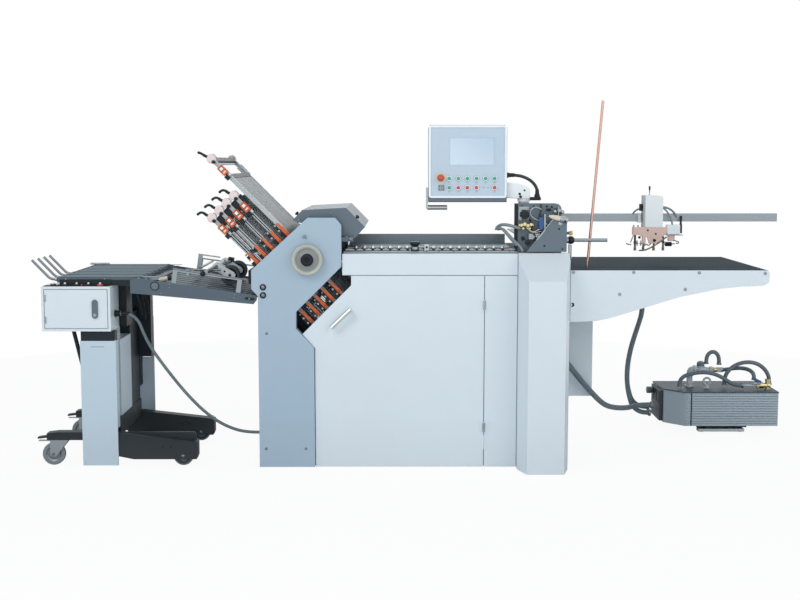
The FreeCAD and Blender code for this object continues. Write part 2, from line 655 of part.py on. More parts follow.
def make_covers():
    front = tray("XZ_Plane", cover_outline(), at(cover.front_y), cover.depth, machine.sheet)
    bored = cut(front, [rod(fold.wheel_x, at(cover.front_y - 1), fold.wheel_z, fold.shaft_r + 4, 10)])
    back = tray("XZ_Plane", cover_outline(), BACK - cover.front_y - cover.depth, cover.depth,
                machine.sheet, False)
    node("side_covers", [bored, back])


def frame_face(back=False):
    """Inner face of a fold-unit side plate."""
    front = at(cover.front_y) + cover.depth + fold.plate
    return BACK - (front - F) if back else front


def roller_centres():
    step = fold.pitch * HALF
    spots = [fold.wheel_x + step, fold.wheel_z + step]
    centres = [tuple(spots)]
    for k in (1, 2, 3, 4):
        centres.append((fold.wheel_x - k * step, fold.wheel_z - k * step))
    return centres


def make_fold_frame():
    front_inner = frame_face()
    back_inner = frame_face(True)
    holes = [(fold.wheel_x, fold.wheel_z, fold.shaft_r + machine.gap)]
    for x, z in roller_centres():
        holes.append((x, z, fold.journal_r + machine.gap))
    outline = cover_outline(fold.inset, base.rail)
    plates = [prism("XZ_Plane", outline, front_inner - fold.plate, fold.plate, holes),
              prism("XZ_Plane", outline, back_inner, fold.plate, holes)]
    ties = []
    for x, z in ((cover.left_low + 40, cover.notch_low - 40), (cover.right - 50, cover.shoulder - 90),
                 (cover.left_low + 50, base.rail + 60), (cover.right - 40, base.rail + 240)):
        ties.append(rod(x, front_inner, z, fold.tie_r, back_inner - front_inner))
    edge = cover.open_right - fold.inset
    ear = [(edge, hood.pin_z - 10), (hood.pin_x + 12, hood.pin_z - 10), (hood.pin_x + 12, hood.pin_z + 10),
           (edge, hood.pin_z + 10)]
    pin_hole = [(hood.pin_x, hood.pin_z, hood.pin_r + machine.gap)]
    ears = [prism("XZ_Plane", ear, y, fold.plate, pin_hole) for y in (front_inner - fold.plate, back_inner)]
    node("fold_frame", plates + ties + ears)
    rollers = []
    inner = back_inner - front_inner - 2 * machine.gap
    for x, z in roller_centres():
        core = rod(x, front_inner + machine.gap, z, fold.roller_r, inner)
        shaft = rod(x, front_inner - fold.plate, z, fold.journal_r,
                    back_inner - front_inner + 2 * fold.plate)
        rollers.append(fuse([core, shaft]))
    node("fold_rollers", rollers)


def make_handwheel():
    w = wheel
    face = at(cover.front_y) - w.stand
    core = w.dish_t
    profile = [
        (0, 0), (w.hub_r, 0), (w.hub_r, w.hub_t - core), (w.dish_r, w.hub_t - core),
        (w.dish_r, w.hub_t - w.rim_t), (w.rim_r - 6, w.hub_t - w.rim_t), (w.rim_r, w.hub_t - w.rim_t + 6),
        (w.rim_r, w.hub_t - 6), (w.rim_r - 6, w.hub_t), (0, w.hub_t)]
    disc = turned(profile, fold.wheel_x, face - w.hub_t, fold.wheel_z)
    front_inner = frame_face()
    back_inner = frame_face(True)
    shaft = rod(fold.wheel_x, face, fold.wheel_z, fold.shaft_r, back_inner + fold.plate - face)
    roller = rod(fold.wheel_x, front_inner + machine.gap, fold.wheel_z, fold.roller_r,
                 back_inner - front_inner - 2 * machine.gap)
    node("handwheel", [disc, fuse([shaft, roller])])


def fold_plate(x, z, length, strips, holes_at, first=0.02):
    """One buckle plate in its own frame: x runs down the plate, z is its normal."""
    front = frame_face() + machine.gap
    width = frame_face(True) - frame_face() - 2 * machine.gap
    half = fold.rail_h / 2
    outline = [(-14, -half), (length, -half), (length, half), (-14, half)]
    holes = [(a, 0, fold.pin_r + machine.gap) for a in holes_at]
    pieces = []
    for y in (0, width - fold.rail_t):
        pieces.append(prism("XZ_Plane", outline, y, fold.rail_t, holes if y == 0 else ()))
    for share in (0.02, 0.2, 0.55, 0.92):
        pieces.append(block(length * share, fold.rail_t / 2, -half + 2, fold.bar_w, width - fold.rail_t, 5))
    pitch = (width - 2 * fold.rail_t) / (strips + 1)
    for k in range(strips):
        y = fold.rail_t + pitch * (k + 1) - fold.strip_w / 2
        pieces.append(block(length * first, y, -half + 2 + 4, length * (0.97 - first), fold.strip_w,
                            fold.strip_t))
    whole = fuse(pieces)
    return place(whole, x, front, z, (0, 1, 0), 45)


def plate_tips():
    """Where each upper plate's operator-side tip lies, lowest plate first."""
    step = fold.pitch * HALF
    tips = []
    for k in range(5):
        reach = fold.long * HALF if k == 4 else 0
        tips.append((fold.tip_x + k * step - reach, fold.tip_z + k * step + reach))
    return tips


def on_plate(tip, along, off=0):
    return tip[0] + (along + off) * HALF, tip[1] - (along - off) * HALF


def make_plates():
    front = frame_face() + machine.gap
    back = frame_face(True) - machine.gap
    plates = []
    counters = []
    for k, tip in enumerate(plate_tips()):
        extra = fold.long if k == 4 else 0
        first = 0.2 if k == 4 else 0.02
        plates.append(fold_plate(tip[0], tip[1], fold.length + extra, 9, [fold.lever_at + extra], first))
        disc = rod(tip[0], front - fold.disc_t, tip[1], fold.disc_r, fold.disc_t)
        far_disc = rod(tip[0], back, tip[1], fold.disc_r, fold.disc_t)
        hook_x, hook_z = on_plate(tip, 6 - fold.disc_r - fold.hook, 2)
        hook = place(block(0, 0, 0, fold.hook, 8, 9), hook_x, front - fold.disc_t, hook_z, (0, 1, 0), 45)
        counters.extend([fuse([disc, hook]), far_disc])
        for y in (front - fold.count_t, back):
            body = block(0, 0, 0, fold.count_l, fold.count_t, fold.count_h)
            x, z = on_plate(tip, fold.count_at - fold.count_l / 2, -fold.count_h / 2)
            counters.append(place(body, x, y, z, (0, 1, 0), 45))
        lever = lever_shape()
        x, z = on_plate(tip, fold.lever_at + extra)
        place(lever, x, front - fold.lever_t - machine.gap, z, (0, 1, 0), 45)
        node("lever_%d" % (k + 1), lever)
    node("fold_plates", plates)
    node("plate_counters", counters)


def lever_shape():
    """A lever with its pin: the grip runs up the plate from the pin."""
    half = fold.lever_h / 2
    grip = block(-fold.lever_l, 0, -half, fold.lever_l, fold.lever_t, fold.lever_h)
    eye = rod(0, 0, 0, half, fold.lever_t)
    pin = rod(0, 0, 0, fold.pin_r, fold.lever_t + fold.rail_t - 2)
    knob = rod(-fold.lever_l, 0, 0, half + 1, fold.lever_t)
    return fuse([grip, eye, pin, knob])


def make_lower_plates():
    step = fold.pitch * HALF
    front = frame_face() + machine.gap
    plates = []
    levers = []
    for k in range(5):
        x = fold.low_x + k * step
        z = fold.low_z + k * step
        plates.append(fold_plate(x, z, fold.low_length, 9, [fold.low_lever_at + fold.lever_l]))
        lever = lever_shape()
        px, pz = on_plate((x, z), fold.low_lever_at + fold.lever_l)
        levers.append(place(lever, px, front - fold.lever_t, pz, (0, 1, 0), 45))
    node("lower_fold_plates", plates)
    node("lower_levers", levers)


def make_hood():
    h = hood
    width = frame_face(True) - frame_face() - 8
    start = frame_face() + 4
    outer = [(h.lip_x, h.lip_z), (h.ridge_left, h.ridge_left_z), (h.ridge_right, h.ridge_right_z),
             (h.brow_x, h.brow_z), (h.foot_right, h.foot_right_z), (h.foot_right - 7, h.foot_right_z + 1),
             (h.brow_x - 7, h.brow_z), (h.ridge_right - 2, h.ridge_right_z - h.wall),
             (h.ridge_left + 2, h.ridge_left_z - h.wall), (h.lip_x + 5, h.lip_z - 2)]
    skin = prism("XZ_Plane", outer, start, width)
    cheek = [(h.lip_x + 3, h.lip_z), (h.ridge_left + 1, h.ridge_left_z - h.wall / 2),
             (h.ridge_right - 1, h.ridge_right_z - h.wall / 2), (h.brow_x - 4, h.brow_z),
             (h.foot_right - 3, h.foot_right_z + 3), (h.pin_x, h.pin_z - 10), (h.pin_x - 12, h.pin_z),
             (h.foot_right - 40, h.foot_right_z + 20)]
    hole = [(h.pin_x, h.pin_z, h.pin_r)]
    cheeks = [prism("XZ_Plane", cheek, start, h.wall, hole),
              prism("XZ_Plane", cheek, start + width - h.wall, h.wall, hole)]
    pin = rod(h.pin_x, frame_face() - fold.plate, h.pin_z, h.pin_r,
              frame_face(True) - frame_face() + 2 * fold.plate)
    node("hood", [fuse([skin] + cheeks), pin])


# ---------------------------------------------------------------- register table
def make_table():
    t = table
    top = t.top
    front = at(t.front_y)
    plate = span(t.left, t.right, front, BACK - 20, top - t.plate, top)
    front_edge = span(t.left, t.right, front, front + t.edge_w, top, top + t.edge_h)
    back_rail = span(t.left, t.right, at(t.back_rail_y), at(t.back_rail_y) + 14, top, top + t.back_rail_h)
    legs = []
    for x in (base.post_left, t.right - base.post - 20):
        for y in (at(base.inset_y), BACK - base.inset_y - base.post):
            legs.append(span(x, x + base.post, y, y + base.post, base.ring_z + base.ring, top - t.plate))
    slats = []
    for k in range(5):
        y = at(410 + 50 * k)
        slats.append(span(t.left, t.right, y, y + 26, top, top + 4))
    node("register_table", [plate, front_edge, back_rail] + legs + slats)
    rails = []
    balls = []
    for start in (t.rail_a_y, t.rail_b_y):
        y = at(start)
        rails.append(span(t.left + 6, t.right - 4, y, y + t.rail_w, top, top + t.rail_h))
    for k in range(SIZES["table"]["balls"]):
        x = t.left + 50 + k * t.ball_gap
        balls.append(ball(x, at(t.rail_a_y) + t.rail_w / 2, top + t.rail_h + t.ball_r + machine.gap,
                          t.ball_r))
    knob_base = cone(t.knob_x, at(76), top, t.knob_r * 0.4, t.knob_r, t.knob_h * 0.6)
    knob_top = rod(t.knob_x, at(76), top + t.knob_h * 0.6, t.knob_r, t.knob_h * 0.4, "Z")
    node("ball_rails", rails + balls + [fuse([knob_base, knob_top])])


def make_motor():
    x = cover.left_low + 60
    y = at(420)
    z = base.rail
    body = rod(x + 80, y, z + 96, 70, 220)
    foot = span(x + 20, x + 140, y + 20, y + 200, z, z + 40)
    shaft = rod(x + 80, y - 40, z + 96, 12, 40)
    pulley = rod(x + 80, y - 36, z + 96, 34, 24)
    node("drive_motor", fuse([body, foot, shaft, pulley]))


# ---------------------------------------------------------------- feeder
def make_head():
    h = head
    front_plate = prism("XZ_Plane", [(h.left, h.foot), (h.right, h.foot), (h.right, h.top),
                                     (h.shoulder, h.top)],
                        at(h.front_y), h.plate)
    foot_z = base.ring_z + base.ring
    side_outline = [(h.inner_left + 24, foot_z), (h.inner_right - 2, foot_z),
                    (h.inner_right - 2, h.inner_top - 40),
                    (h.inner_right - 40, h.inner_top), (h.inner_left + 24, h.inner_top)]
    bearing = [(h.drum_x, h.drum_z, h.drum_shaft + machine.gap)]
    inner = prism("XZ_Plane", side_outline, at(h.inner_y), h.plate, bearing)
    back = prism("XZ_Plane", side_outline, at(h.back_y), h.plate, bearing)
    inner_face = at(h.inner_y) + h.plate
    tie = span(h.tie_x, h.tie_x + h.tie_w, inner_face, at(h.back_y), h.tie_z, h.tie_z + h.tie_h)
    shelf = span(h.inner_left + 24, h.inner_left + 110, inner_face, at(h.back_y), h.foot + 60, h.foot + 66)
    spacers = [rod(h.shoulder + 20, at(h.front_y) + h.plate, h.foot + 40, 12,
                   h.inner_y - h.front_y - h.plate),
               rod(h.shoulder + 30, at(h.front_y) + h.plate, h.top - 24, 12,
                   h.inner_y - h.front_y - h.plate)]
    node("head_plates", [front_plate, inner, back, tie, shelf] + spacers)
    drum = rod(h.drum_x, inner_face + 4, h.drum_z, h.drum_r, h.back_y - h.inner_y - h.plate - 8)
    shaft = rod(h.drum_x, at(h.inner_y), h.drum_z, h.drum_shaft, h.back_y - h.inner_y + h.plate)
    slots = []
    for k in range(6):
        slots.append(block(h.drum_x - 4, inner_face + 60 + k * 90, h.drum_z + h.drum_r - 8, 8, 50, 20))
    node("suction_drum", cut(fuse([drum, shaft]), slots))
    body = span(h.block_x, h.block_x + h.block_w, at(h.inner_y) - 34, at(h.inner_y), h.block_z,
                h.block_z + h.block_h)
    ports = [rod(h.block_x + 12 + 18 * k, at(h.inner_y) - 20, h.block_z + h.block_h, 6, 16, "Z")
             for k in range(3)]
    motor = rod(h.block_x - 22, at(h.inner_y) - 50, h.block_z + 70, h.motor_r, 50)
    gearbox = span(h.block_x - 46, h.block_x, at(h.inner_y) - 26, at(h.inner_y), h.block_z - 70,
                   h.block_z - 10)
    lower = span(h.block_x + 6, h.block_x + 66, at(h.inner_y) - 24, at(h.inner_y), h.block_z - 60,
                 h.block_z - 26)
    node("valve_block", [fuse([body] + ports), motor, gearbox, lower])


def make_bar():
    b = bar
    rail = span(head.tie_x + head.tie_w, b.end, at(b.y), at(b.y) + b.side, b.z, b.z + b.side)
    rod_start = head.right
    side_rod = rod(rod_start, at(b.rod_y), b.rod_z, b.rod_r, b.rod_end - rod_start, "X")
    boss_x = head.inner_right - 2
    boss = rod(boss_x, at(b.rod_y), b.rod_z, b.rod_r + 6, rod_start - boss_x + 12, "X")
    knob = place(ball(0, 0, 0, b.ball_r), rod_start + 22, at(b.rod_y), b.rod_z, (0, 1, 0), 90)
    node("feed_bar", [rail, fuse([side_rod, boss, knob])])


def make_suction_head():
    s = sucker
    front = at(bar.y) - s.deep - machine.gap
    back_face = at(bar.y) - machine.gap
    housing = prism("XZ_Plane", [(s.left, s.foot), (s.right, s.foot), (s.right, s.top - 8),
                                 (s.right - 8, s.top),
                                 (s.left + 8, s.top), (s.left, s.top - 8)], front, s.deep)
    over = span(s.left + 12, s.right - 12, back_face, at(bar.y) + bar.side + s.strap,
                bar.z + bar.side + machine.gap,
                bar.z + bar.side + machine.gap + s.strap)
    under = span(s.left + 12, s.right - 12, back_face, at(bar.y) + bar.side + s.strap,
                 bar.z - machine.gap - s.strap,
                 bar.z - machine.gap)
    behind = span(s.left + 12, s.right - 12, at(bar.y) + bar.side + machine.gap,
                  at(bar.y) + bar.side + s.strap,
                  bar.z - machine.gap - s.strap, bar.z + bar.side + machine.gap + s.strap)
    cap = rod(s.left + 28, front + 20, s.top, 9, s.cap_z - s.top - 12, "Z")
    tip = rod(s.left + 28, front + 20, s.cap_z - 12, 5, 12, "Z")
    node("suction_head", fuse([housing, over, under, behind, cap, tip]))
    block_main = span(s.block_left, s.block_right, front + 4, front + 44, s.block_z, s.foot)
    side_box = span(s.block_right, s.block_right + s.side_box, front + 6, front + 36, s.block_z + 10,
                    s.foot + 8)
    nozzles = []
    for x in (s.block_left + 14, s.block_left + 52, s.block_left + 100, s.block_right - 14):
        nozzles.append(rod(x, front + 24, s.cup_z + 10, s.nozzle_r, s.block_z - s.cup_z - 10, "Z"))
        nozzles.append(cone(x, front + 24, s.cup_z, s.cup_r, s.nozzle_r, 14))
    node("sucker_block", fuse([block_main, side_box] + nozzles))


def make_lift():
    t = lift
    inner_front = F + t.apron / 2
    board = span(t.left, t.right, inner_front, BACK + 4, t.top - t.board, t.top)
    ribs = [span(t.left + 60 + 240 * k, t.left + 60 + 240 * k + t.rib_w, inner_front + 60, BACK - 60,
                 t.top - t.board - t.rib_h, t.top - t.board) for k in range(4)]
    node("lift_table", [board] + ribs)
    outline = [(t.arm_x, t.arm_foot), (t.arm_right_x, t.arm_right_z),
               (t.arm_right_x + 61, t.arm_right_z + 13),
               (t.mid_x, t.mid_z), (t.low_x, t.low_z), ((t.low_x + t.end_x) / 2, t.end_z - 3),
               (t.end_x, t.end_z),
               (t.nose_x, t.nose_low), (t.nose_x + 3, t.nose_high), (t.right, t.top), (t.arm_x, t.top)]
    front = prism("XZ_Plane", outline, inner_front - t.apron, t.apron)
    back = prism("XZ_Plane", outline, BACK + 4, t.apron)
    arms = []
    for y in (inner_front, BACK + 4 - t.guide):
        arms.append(span(t.arm_x, t.arm_x + t.bracket, y, y + t.guide, t.arm_foot + 20, t.top - t.board))
    lip = span(t.right, t.right + 4, inner_front, BACK + 4, t.top - 12, t.top)
    node("lift_aprons", [front, back, lip] + arms)
    pole = hose_shape([tuple(number(c) for c in p) for p in (
        (t.rod_foot_x, at(t.rod_y), t.top), (t.rod_foot_x, at(t.rod_y), t.top + 16),
        (t.rod_x, at(t.rod_y), t.rod_bend),
        (t.rod_top_x, at(t.rod_y), t.rod_top))], number(t.rod_r))[0]
    item = doc.addObject("Part::Feature", "pole")
    item.Shape = pole
    node("guide_rod", item)


# ---------------------------------------------------------------- operator panel
def panel_foot():
    """The housing's underside clears the head it swings over."""
    return head.inner_top + panel.over_head


def make_panel():
    p = panel
    foot = panel_foot()
    top = foot + p.high
    front_y = at(p.front_y)
    post_y = at(p.post_y)
    base_z = head.foot + 66
    post_top = foot + p.post_up
    tube_post = rod(p.post_x, post_y, base_z, p.post_r, post_top - base_z, "Z")
    flange = rod(p.post_x, post_y, base_z, p.post_r + 14, 10, "Z")
    node("panel_post", fuse([tube_post, flange]))
    outline = [(p.left + 10, foot), (p.right - 10, foot), (p.right, foot + 10), (p.right, top - 10),
               (p.right - 10, top), (p.left + 10, top), (p.left, top - 10), (p.left, foot + 10)]
    shell = prism("XZ_Plane", outline, front_y, p.deep)
    screen_foot = foot + p.screen_up
    screen = span(p.screen_left, p.screen_right, front_y - 1, front_y + p.screen_deep,
                  screen_foot, screen_foot + p.screen_h)
    stop_z = foot + p.stop_up
    holes = [rod(p.stop_x, front_y - 1, stop_z, p.stop_r * 0.6 + machine.gap, 20)]
    for x, z in button_spots():
        holes.append(rod(x, front_y - 1, z, p.button_r + machine.gap, 12))
    front = cut(shell, [screen] + holes)
    collar = rod(p.post_x, post_y, post_top + machine.gap, p.collar_r, p.collar_h, "Z")
    arm_y = front_y + p.deep
    arm_z = foot + p.arm_up
    arm = span(p.right - 20, p.post_x, arm_y, arm_y + p.arm_w, arm_z, arm_z + p.arm_h)
    grip_y = front_y + 18
    grip_z = foot - p.grip_down
    grip_top = foot + p.grip_up
    grip_parts = [rod(p.grip_x, grip_y, grip_z, p.grip_r, grip_top - grip_z, "Z"),
                  rod(p.grip_x, grip_y, grip_z, p.grip_r, p.grip_end - p.grip_x, "X"),
                  ball(p.grip_x, grip_y, grip_z, p.grip_r),
                  rod(p.grip_x, grip_y, grip_top - 8, p.grip_r - 2, p.left - p.grip_x, "X")]
    lug_z = foot + p.lug_up
    lug = span(p.post_x, p.lug_x + 16, post_y - 10, post_y + 10, post_top + 5, lug_z)
    boot = rod(p.lug_x, post_y, lug_z, p.boot_r, p.boot_l, "Z")
    socket = rod(p.right, at(p.cable_y), foot + p.cable_up, p.boot_r, p.boot_l, "X")
    node("panel_housing", [front, fuse([collar, arm, lug, boot]), socket, fuse(grip_parts)])
    stem = rod(p.stop_x, front_y - 10, stop_z, p.stop_r * 0.6, 16)
    cap = rod(p.stop_x, front_y - p.stop_h - 6, stop_z, p.stop_r, p.stop_h - 4)
    node("emergency_stop", fuse([stem, cap]))
    caps = [rod(x, front_y - 5, z, p.button_r, p.button_t) for x, z in button_spots()]
    node("panel_buttons", caps)


def button_spots():
    p = panel
    high_row = panel_foot() + p.high_row_up
    low_row = panel_foot() + p.low_row_up
    spots = [(p.row + k * p.pitch, high_row) for k in range(6)]
    spots += [(p.row + k * p.pitch, low_row) for k in (0, 1, 2, 3, 5)]
    return spots


# ---------------------------------------------------------------- delivery stand
def beam(y):
    s = stand
    outline = [(s.left, s.left_foot), (s.knee_x, s.left_foot), (s.right_x - 60, s.right_low),
               (s.right_x, s.right_low),
               (s.heel_x, s.heel_z), (s.right - 6, s.heel_z), (s.right, s.heel_z + 14),
               (s.right, s.end_top),
               (s.right_x, s.right_top), (s.knee_x, s.left_top), (s.left + 44, s.left_top),
               (s.left, s.left_foot + 30)]
    body = prism("XZ_Plane", outline, at(y), s.beam_w)
    arch = rod(s.wheel_x, at(y) + 5, s.wheel_r, s.wheel_r + 6, s.beam_w - 10)
    bore = rod(s.wheel_x, at(y) - 1, s.wheel_r, s.axle_r + machine.gap, s.beam_w + 2)
    pivot = rod(caster.x, at(y) + s.beam_w / 2, s.left_foot - 1, caster.stem_r + machine.gap,
                caster.stem_l + 3, "Z")
    return cut(body, [fuse([arch, bore]), pivot])


def make_stand():
    s = stand
    beam_back = at(s.beam_y) + s.beam_w
    cross = span(s.cross_left, s.cross_right, beam_back, at(s.back_beam_y), s.cross_z - 30,
                 s.cross_z + s.cross_h)
    cross_top = s.cross_z + s.cross_h
    dark = span(s.cross_left + 40, s.cross_right - 4, at(s.house_back_y) + 6, at(post.back_y) - 10,
                cross_top, s.dark_top)
    house = span(s.cross_left, s.cross_right, beam_back + 26, at(s.house_back_y), cross_top, s.house_top)
    node("stand_base", [beam(s.beam_y), beam(s.back_beam_y), cross, dark])
    skin = machine.sheet
    y0 = at(s.cover_y)
    front = [span(s.cover_left, s.cover_right, y0, y0 + skin, s.cover_foot, s.cover_top)]
    for x in (s.cover_left, s.cover_right - skin):
        front.append(span(x, x + skin, y0 + skin, y0 + s.cover_deep, s.notch_top, s.cover_top))
        front.append(span(x, x + skin, y0 + skin, at(s.beam_y) - machine.gap, s.cover_foot, s.notch_top))
    shell = fuse(front)
    back_y = at(post.back_y) + post.back_w + machine.gap
    back_foot = s.left_foot + 3
    sheets = fuse([
        span(s.cover_left, s.back_cover_right, back_y, back_y + skin, back_foot, s.back_cover_top),
        span(s.cover_left, s.cover_right, back_y, back_y + skin, s.back_cover_top, s.cover_top),
        span(s.back_cover_right - s.strip_w, s.back_cover_right, back_y, back_y + skin, s.back_cover_top,
             s.strip_top)])
    beam_face = at(s.back_beam_y) + s.beam_w
    lugs = [span(x, x + 30, beam_face, back_y, back_foot, back_foot + 28)
            for x in (s.cover_left, s.cover_right - 30)]
    node("stand_column_covers", [shell, sheets, house] + lugs)


def slanted(top, foot, radius):
    """A round strut with a level top face."""
    high = Vector(*[number(c) for c in top])
    low = Vector(*[number(c) for c in foot])
    run = low - high
    tube_shape = Part.makeCylinder(radius, run.Length + 20, high - run.normalize() * 10, run)
    size = 200
    cutter = Part.makeBox(size, size, size, Vector(high.x - size / 2, high.y - size / 2, high.z))
    return tube_shape.cut(cutter)


def make_posts():
    s = stand
    skin = machine.sheet
    gap = machine.gap
    front = span(s.cover_left + skin + gap, s.cover_right - skin - gap, at(s.cover_y) + skin + gap,
                 at(s.cover_y) + s.cover_deep - 4, post.foot, post.front_top)
    low = span(s.cross_left, s.cross_right - 3, at(post.back_y), at(post.back_y) + post.back_w, post.foot,
               post.wide_z)
    high = span(s.cross_left, s.back_cover_right - 1, at(post.back_y), at(post.back_y) + post.back_w,
                post.wide_z,
                deck.foot - deck.under)
    strut = doc.addObject("Part::Feature", "strut")
    strut.Shape = slanted((box.left + 100, at(150), box.foot), (box.left + 182, at(150), post.foot - 30), 9)
    node("stand_columns", [front, fuse([low, high]), strut])


def make_wheels():
    s = stand
    wheels = []
    for y in (s.beam_y, s.back_beam_y):
        middle = at(y) + s.beam_w / 2
        tread = rod(s.wheel_x, middle - s.wheel_w / 2, s.wheel_r, s.wheel_r, s.wheel_w)
        axle = rod(s.wheel_x, at(y), s.wheel_r, s.axle_r, s.beam_w)
        wheels.append(fuse([tread, axle]))
    node("fixed_wheels", wheels)
    for label, y in (("front", s.beam_y), ("rear", s.back_beam_y)):
        make_caster(label, at(y) + s.beam_w / 2)


def make_caster(label, y):
    c = caster
    wheel_x = c.x - c.trail
    crown = stand.left_foot
    half = c.wheel_w / 2 + 3
    cheek = [(wheel_x - 12, c.wheel_r - 8), (wheel_x + 12, c.wheel_r - 10),
             (c.x + 34, crown - c.fork_t - 4),
             (c.x + 34, crown - machine.gap), (c.x - 40, crown - machine.gap), (c.x - 44, crown - 14)]
    bore = [(wheel_x, c.wheel_r, c.axle_r + machine.gap)]
    cheeks = [prism("XZ_Plane", cheek, y - half - c.fork_t, c.fork_t, bore),
              prism("XZ_Plane", cheek, y + half, c.fork_t, bore)]
    roof = span(c.x - 40, c.x + 34, y - half, y + half, crown - machine.gap - c.fork_t, crown - machine.gap)
    pedal = span(c.x - 44 - c.pedal, c.x - 38, y - 9, y + 9, crown - machine.gap - 8,
                 crown - machine.gap - 4)
    stem = rod(c.x, y, crown - machine.gap, c.stem_r, c.stem_l, "Z")
    node("caster_fork_" + label, fuse(cheeks + [roof, pedal, stem]))
    tread = rod(wheel_x, y - c.wheel_w / 2, c.wheel_r, c.wheel_r, c.wheel_w)
    axle = rod(wheel_x, y - half - c.fork_t - 3, c.wheel_r, c.axle_r, 2 * half + 2 * c.fork_t + 6)
    node("caster_wheel_" + label, fuse([tread, axle]))


def stadium(run, radius):
    """Points and bends of a belt loop about two rollers, the first at the origin."""
    points = [(0, radius), (0, -radius), (run, -radius), (run, radius)]
    return points, {0: (-radius, 0, 0), 2: (run + radius, 0, run)}


def belt_loops(count, width, run, radius, thick, y0, y1):
    loops = []
    pitch = (y1 - y0) / count
    for k in range(count):
        points, bends = stadium(run, radius + thick)
        y = y0 + pitch * (k + 0.5) - width / 2
        outer = prism("XZ_Plane", points, y, width, (), bends)
        points, bends = stadium(run, radius)
        inner = prism("XZ_Plane", points, y - 1, width + 2, (), bends)
        loops.append(cut(outer, [inner]))
    return loops


def make_deck():
    d = deck
    y0, y1 = at(d.front_y), at(d.back_y)
    side = [(d.left, d.foot), (d.right, d.foot), (infeed.pivot_x + 8, infeed.pivot_z - 14),
            (infeed.pivot_x + 15, infeed.pivot_z), (infeed.pivot_x + 8, infeed.pivot_z + 14),
            (d.right, d.top), (d.left, d.top)]
    bore = [(infeed.pivot_x, infeed.pivot_z, infeed.pin_r + machine.gap)]
    sides = [prism("XZ_Plane", side, y0, d.plate, bore),
             prism("XZ_Plane", side, y1 - d.plate, d.plate, bore)]
    pan = span(d.left + 10, d.right - 10, y0, y1, d.foot - d.under, d.foot)
    bed = span(d.left + 40, d.right - 40, y0 + d.plate, y1 - d.plate, d.foot + 7, d.foot + 13)
    end_bar = span(d.left - d.end_bar, d.left, y0, y1, d.foot, d.foot + 24)
    axis_z = d.top - d.roller_r - d.belt_t
    rollers = [rod(x, y0 + d.plate, axis_z, d.roller_r - machine.gap, y1 - y0 - 2 * d.plate)
               for x in (d.left + 16, d.right - 16)]
    node("delivery_frame", sides + [pan, bed, end_bar] + rollers)
    loops = belt_loops(SIZES["deck"]["belts"], d.belt_w, d.right - d.left - 32, d.roller_r, d.belt_t,
                       y0 + d.plate + 10, y1 - d.plate - 10)
    node("delivery_belts", place(group(loops), d.left + 16, 0, axis_z))
    rods = []
    for k in range(SIZES["deck"]["rods"]):
        y = at(d.rod_y + k * d.rod_pitch)
        z = d.foot + 12
        route = [(d.left - d.end_bar, y, z), (d.rod_bend_x, y, z), (d.rod_tip_x, y, d.rod_tip_z)]
        flat = [tuple(number(c) for c in p) for p in route]
        item = doc.addObject("Part::Feature", "stop")
        item.Shape = hose_shape(flat, number(d.rod_r))[0]
        rods.append(item)
    node("stop_rods", rods)


def make_infeed():
    i = infeed
    y0 = at(i.front_y)
    y1 = at(deck.back_y) + 2
    outline = [(i.left, i.left_foot), (i.right - 14, i.right_foot), (i.right, i.right_foot + 18),
               (i.right, i.right_top),
               (i.left + 26, i.left_top), (i.left, i.left_top - 8)]
    plates = [prism("XZ_Plane", outline, y0, i.plate), prism("XZ_Plane", outline, y1, i.plate)]
    inner = y1 - y0 - i.plate
    pin = rod(0, 0, 0, i.pin_r, inner)
    core_start = at(deck.front_y) + deck.plate + 4 - (y0 + i.plate)
    core = rod(0, core_start, 0, i.roller_r - machine.gap, inner - 2 * core_start)
    far_roller = rod(i.run, 0, 0, i.roller_r - machine.gap, inner)
    bed = block(i.bed, 0, -i.bed_t / 2, i.run - 2 * i.bed, inner, i.bed_t)
    inside = place(group([fuse([pin, core]), far_roller, bed]), i.pivot_x, y0 + i.plate, i.pivot_z,
                   (0, 1, 0), i.slope)
    node("infeed_frame", plates + [inside])
    loops = belt_loops(SIZES["infeed"]["belts"], i.belt_w, i.run, i.roller_r, i.belt_t, 60, inner - 60)
    node("infeed_belts", place(group(loops), i.pivot_x, y0 + i.plate, i.pivot_z, (0, 1, 0), i.slope))
    make_press(y0, inner)


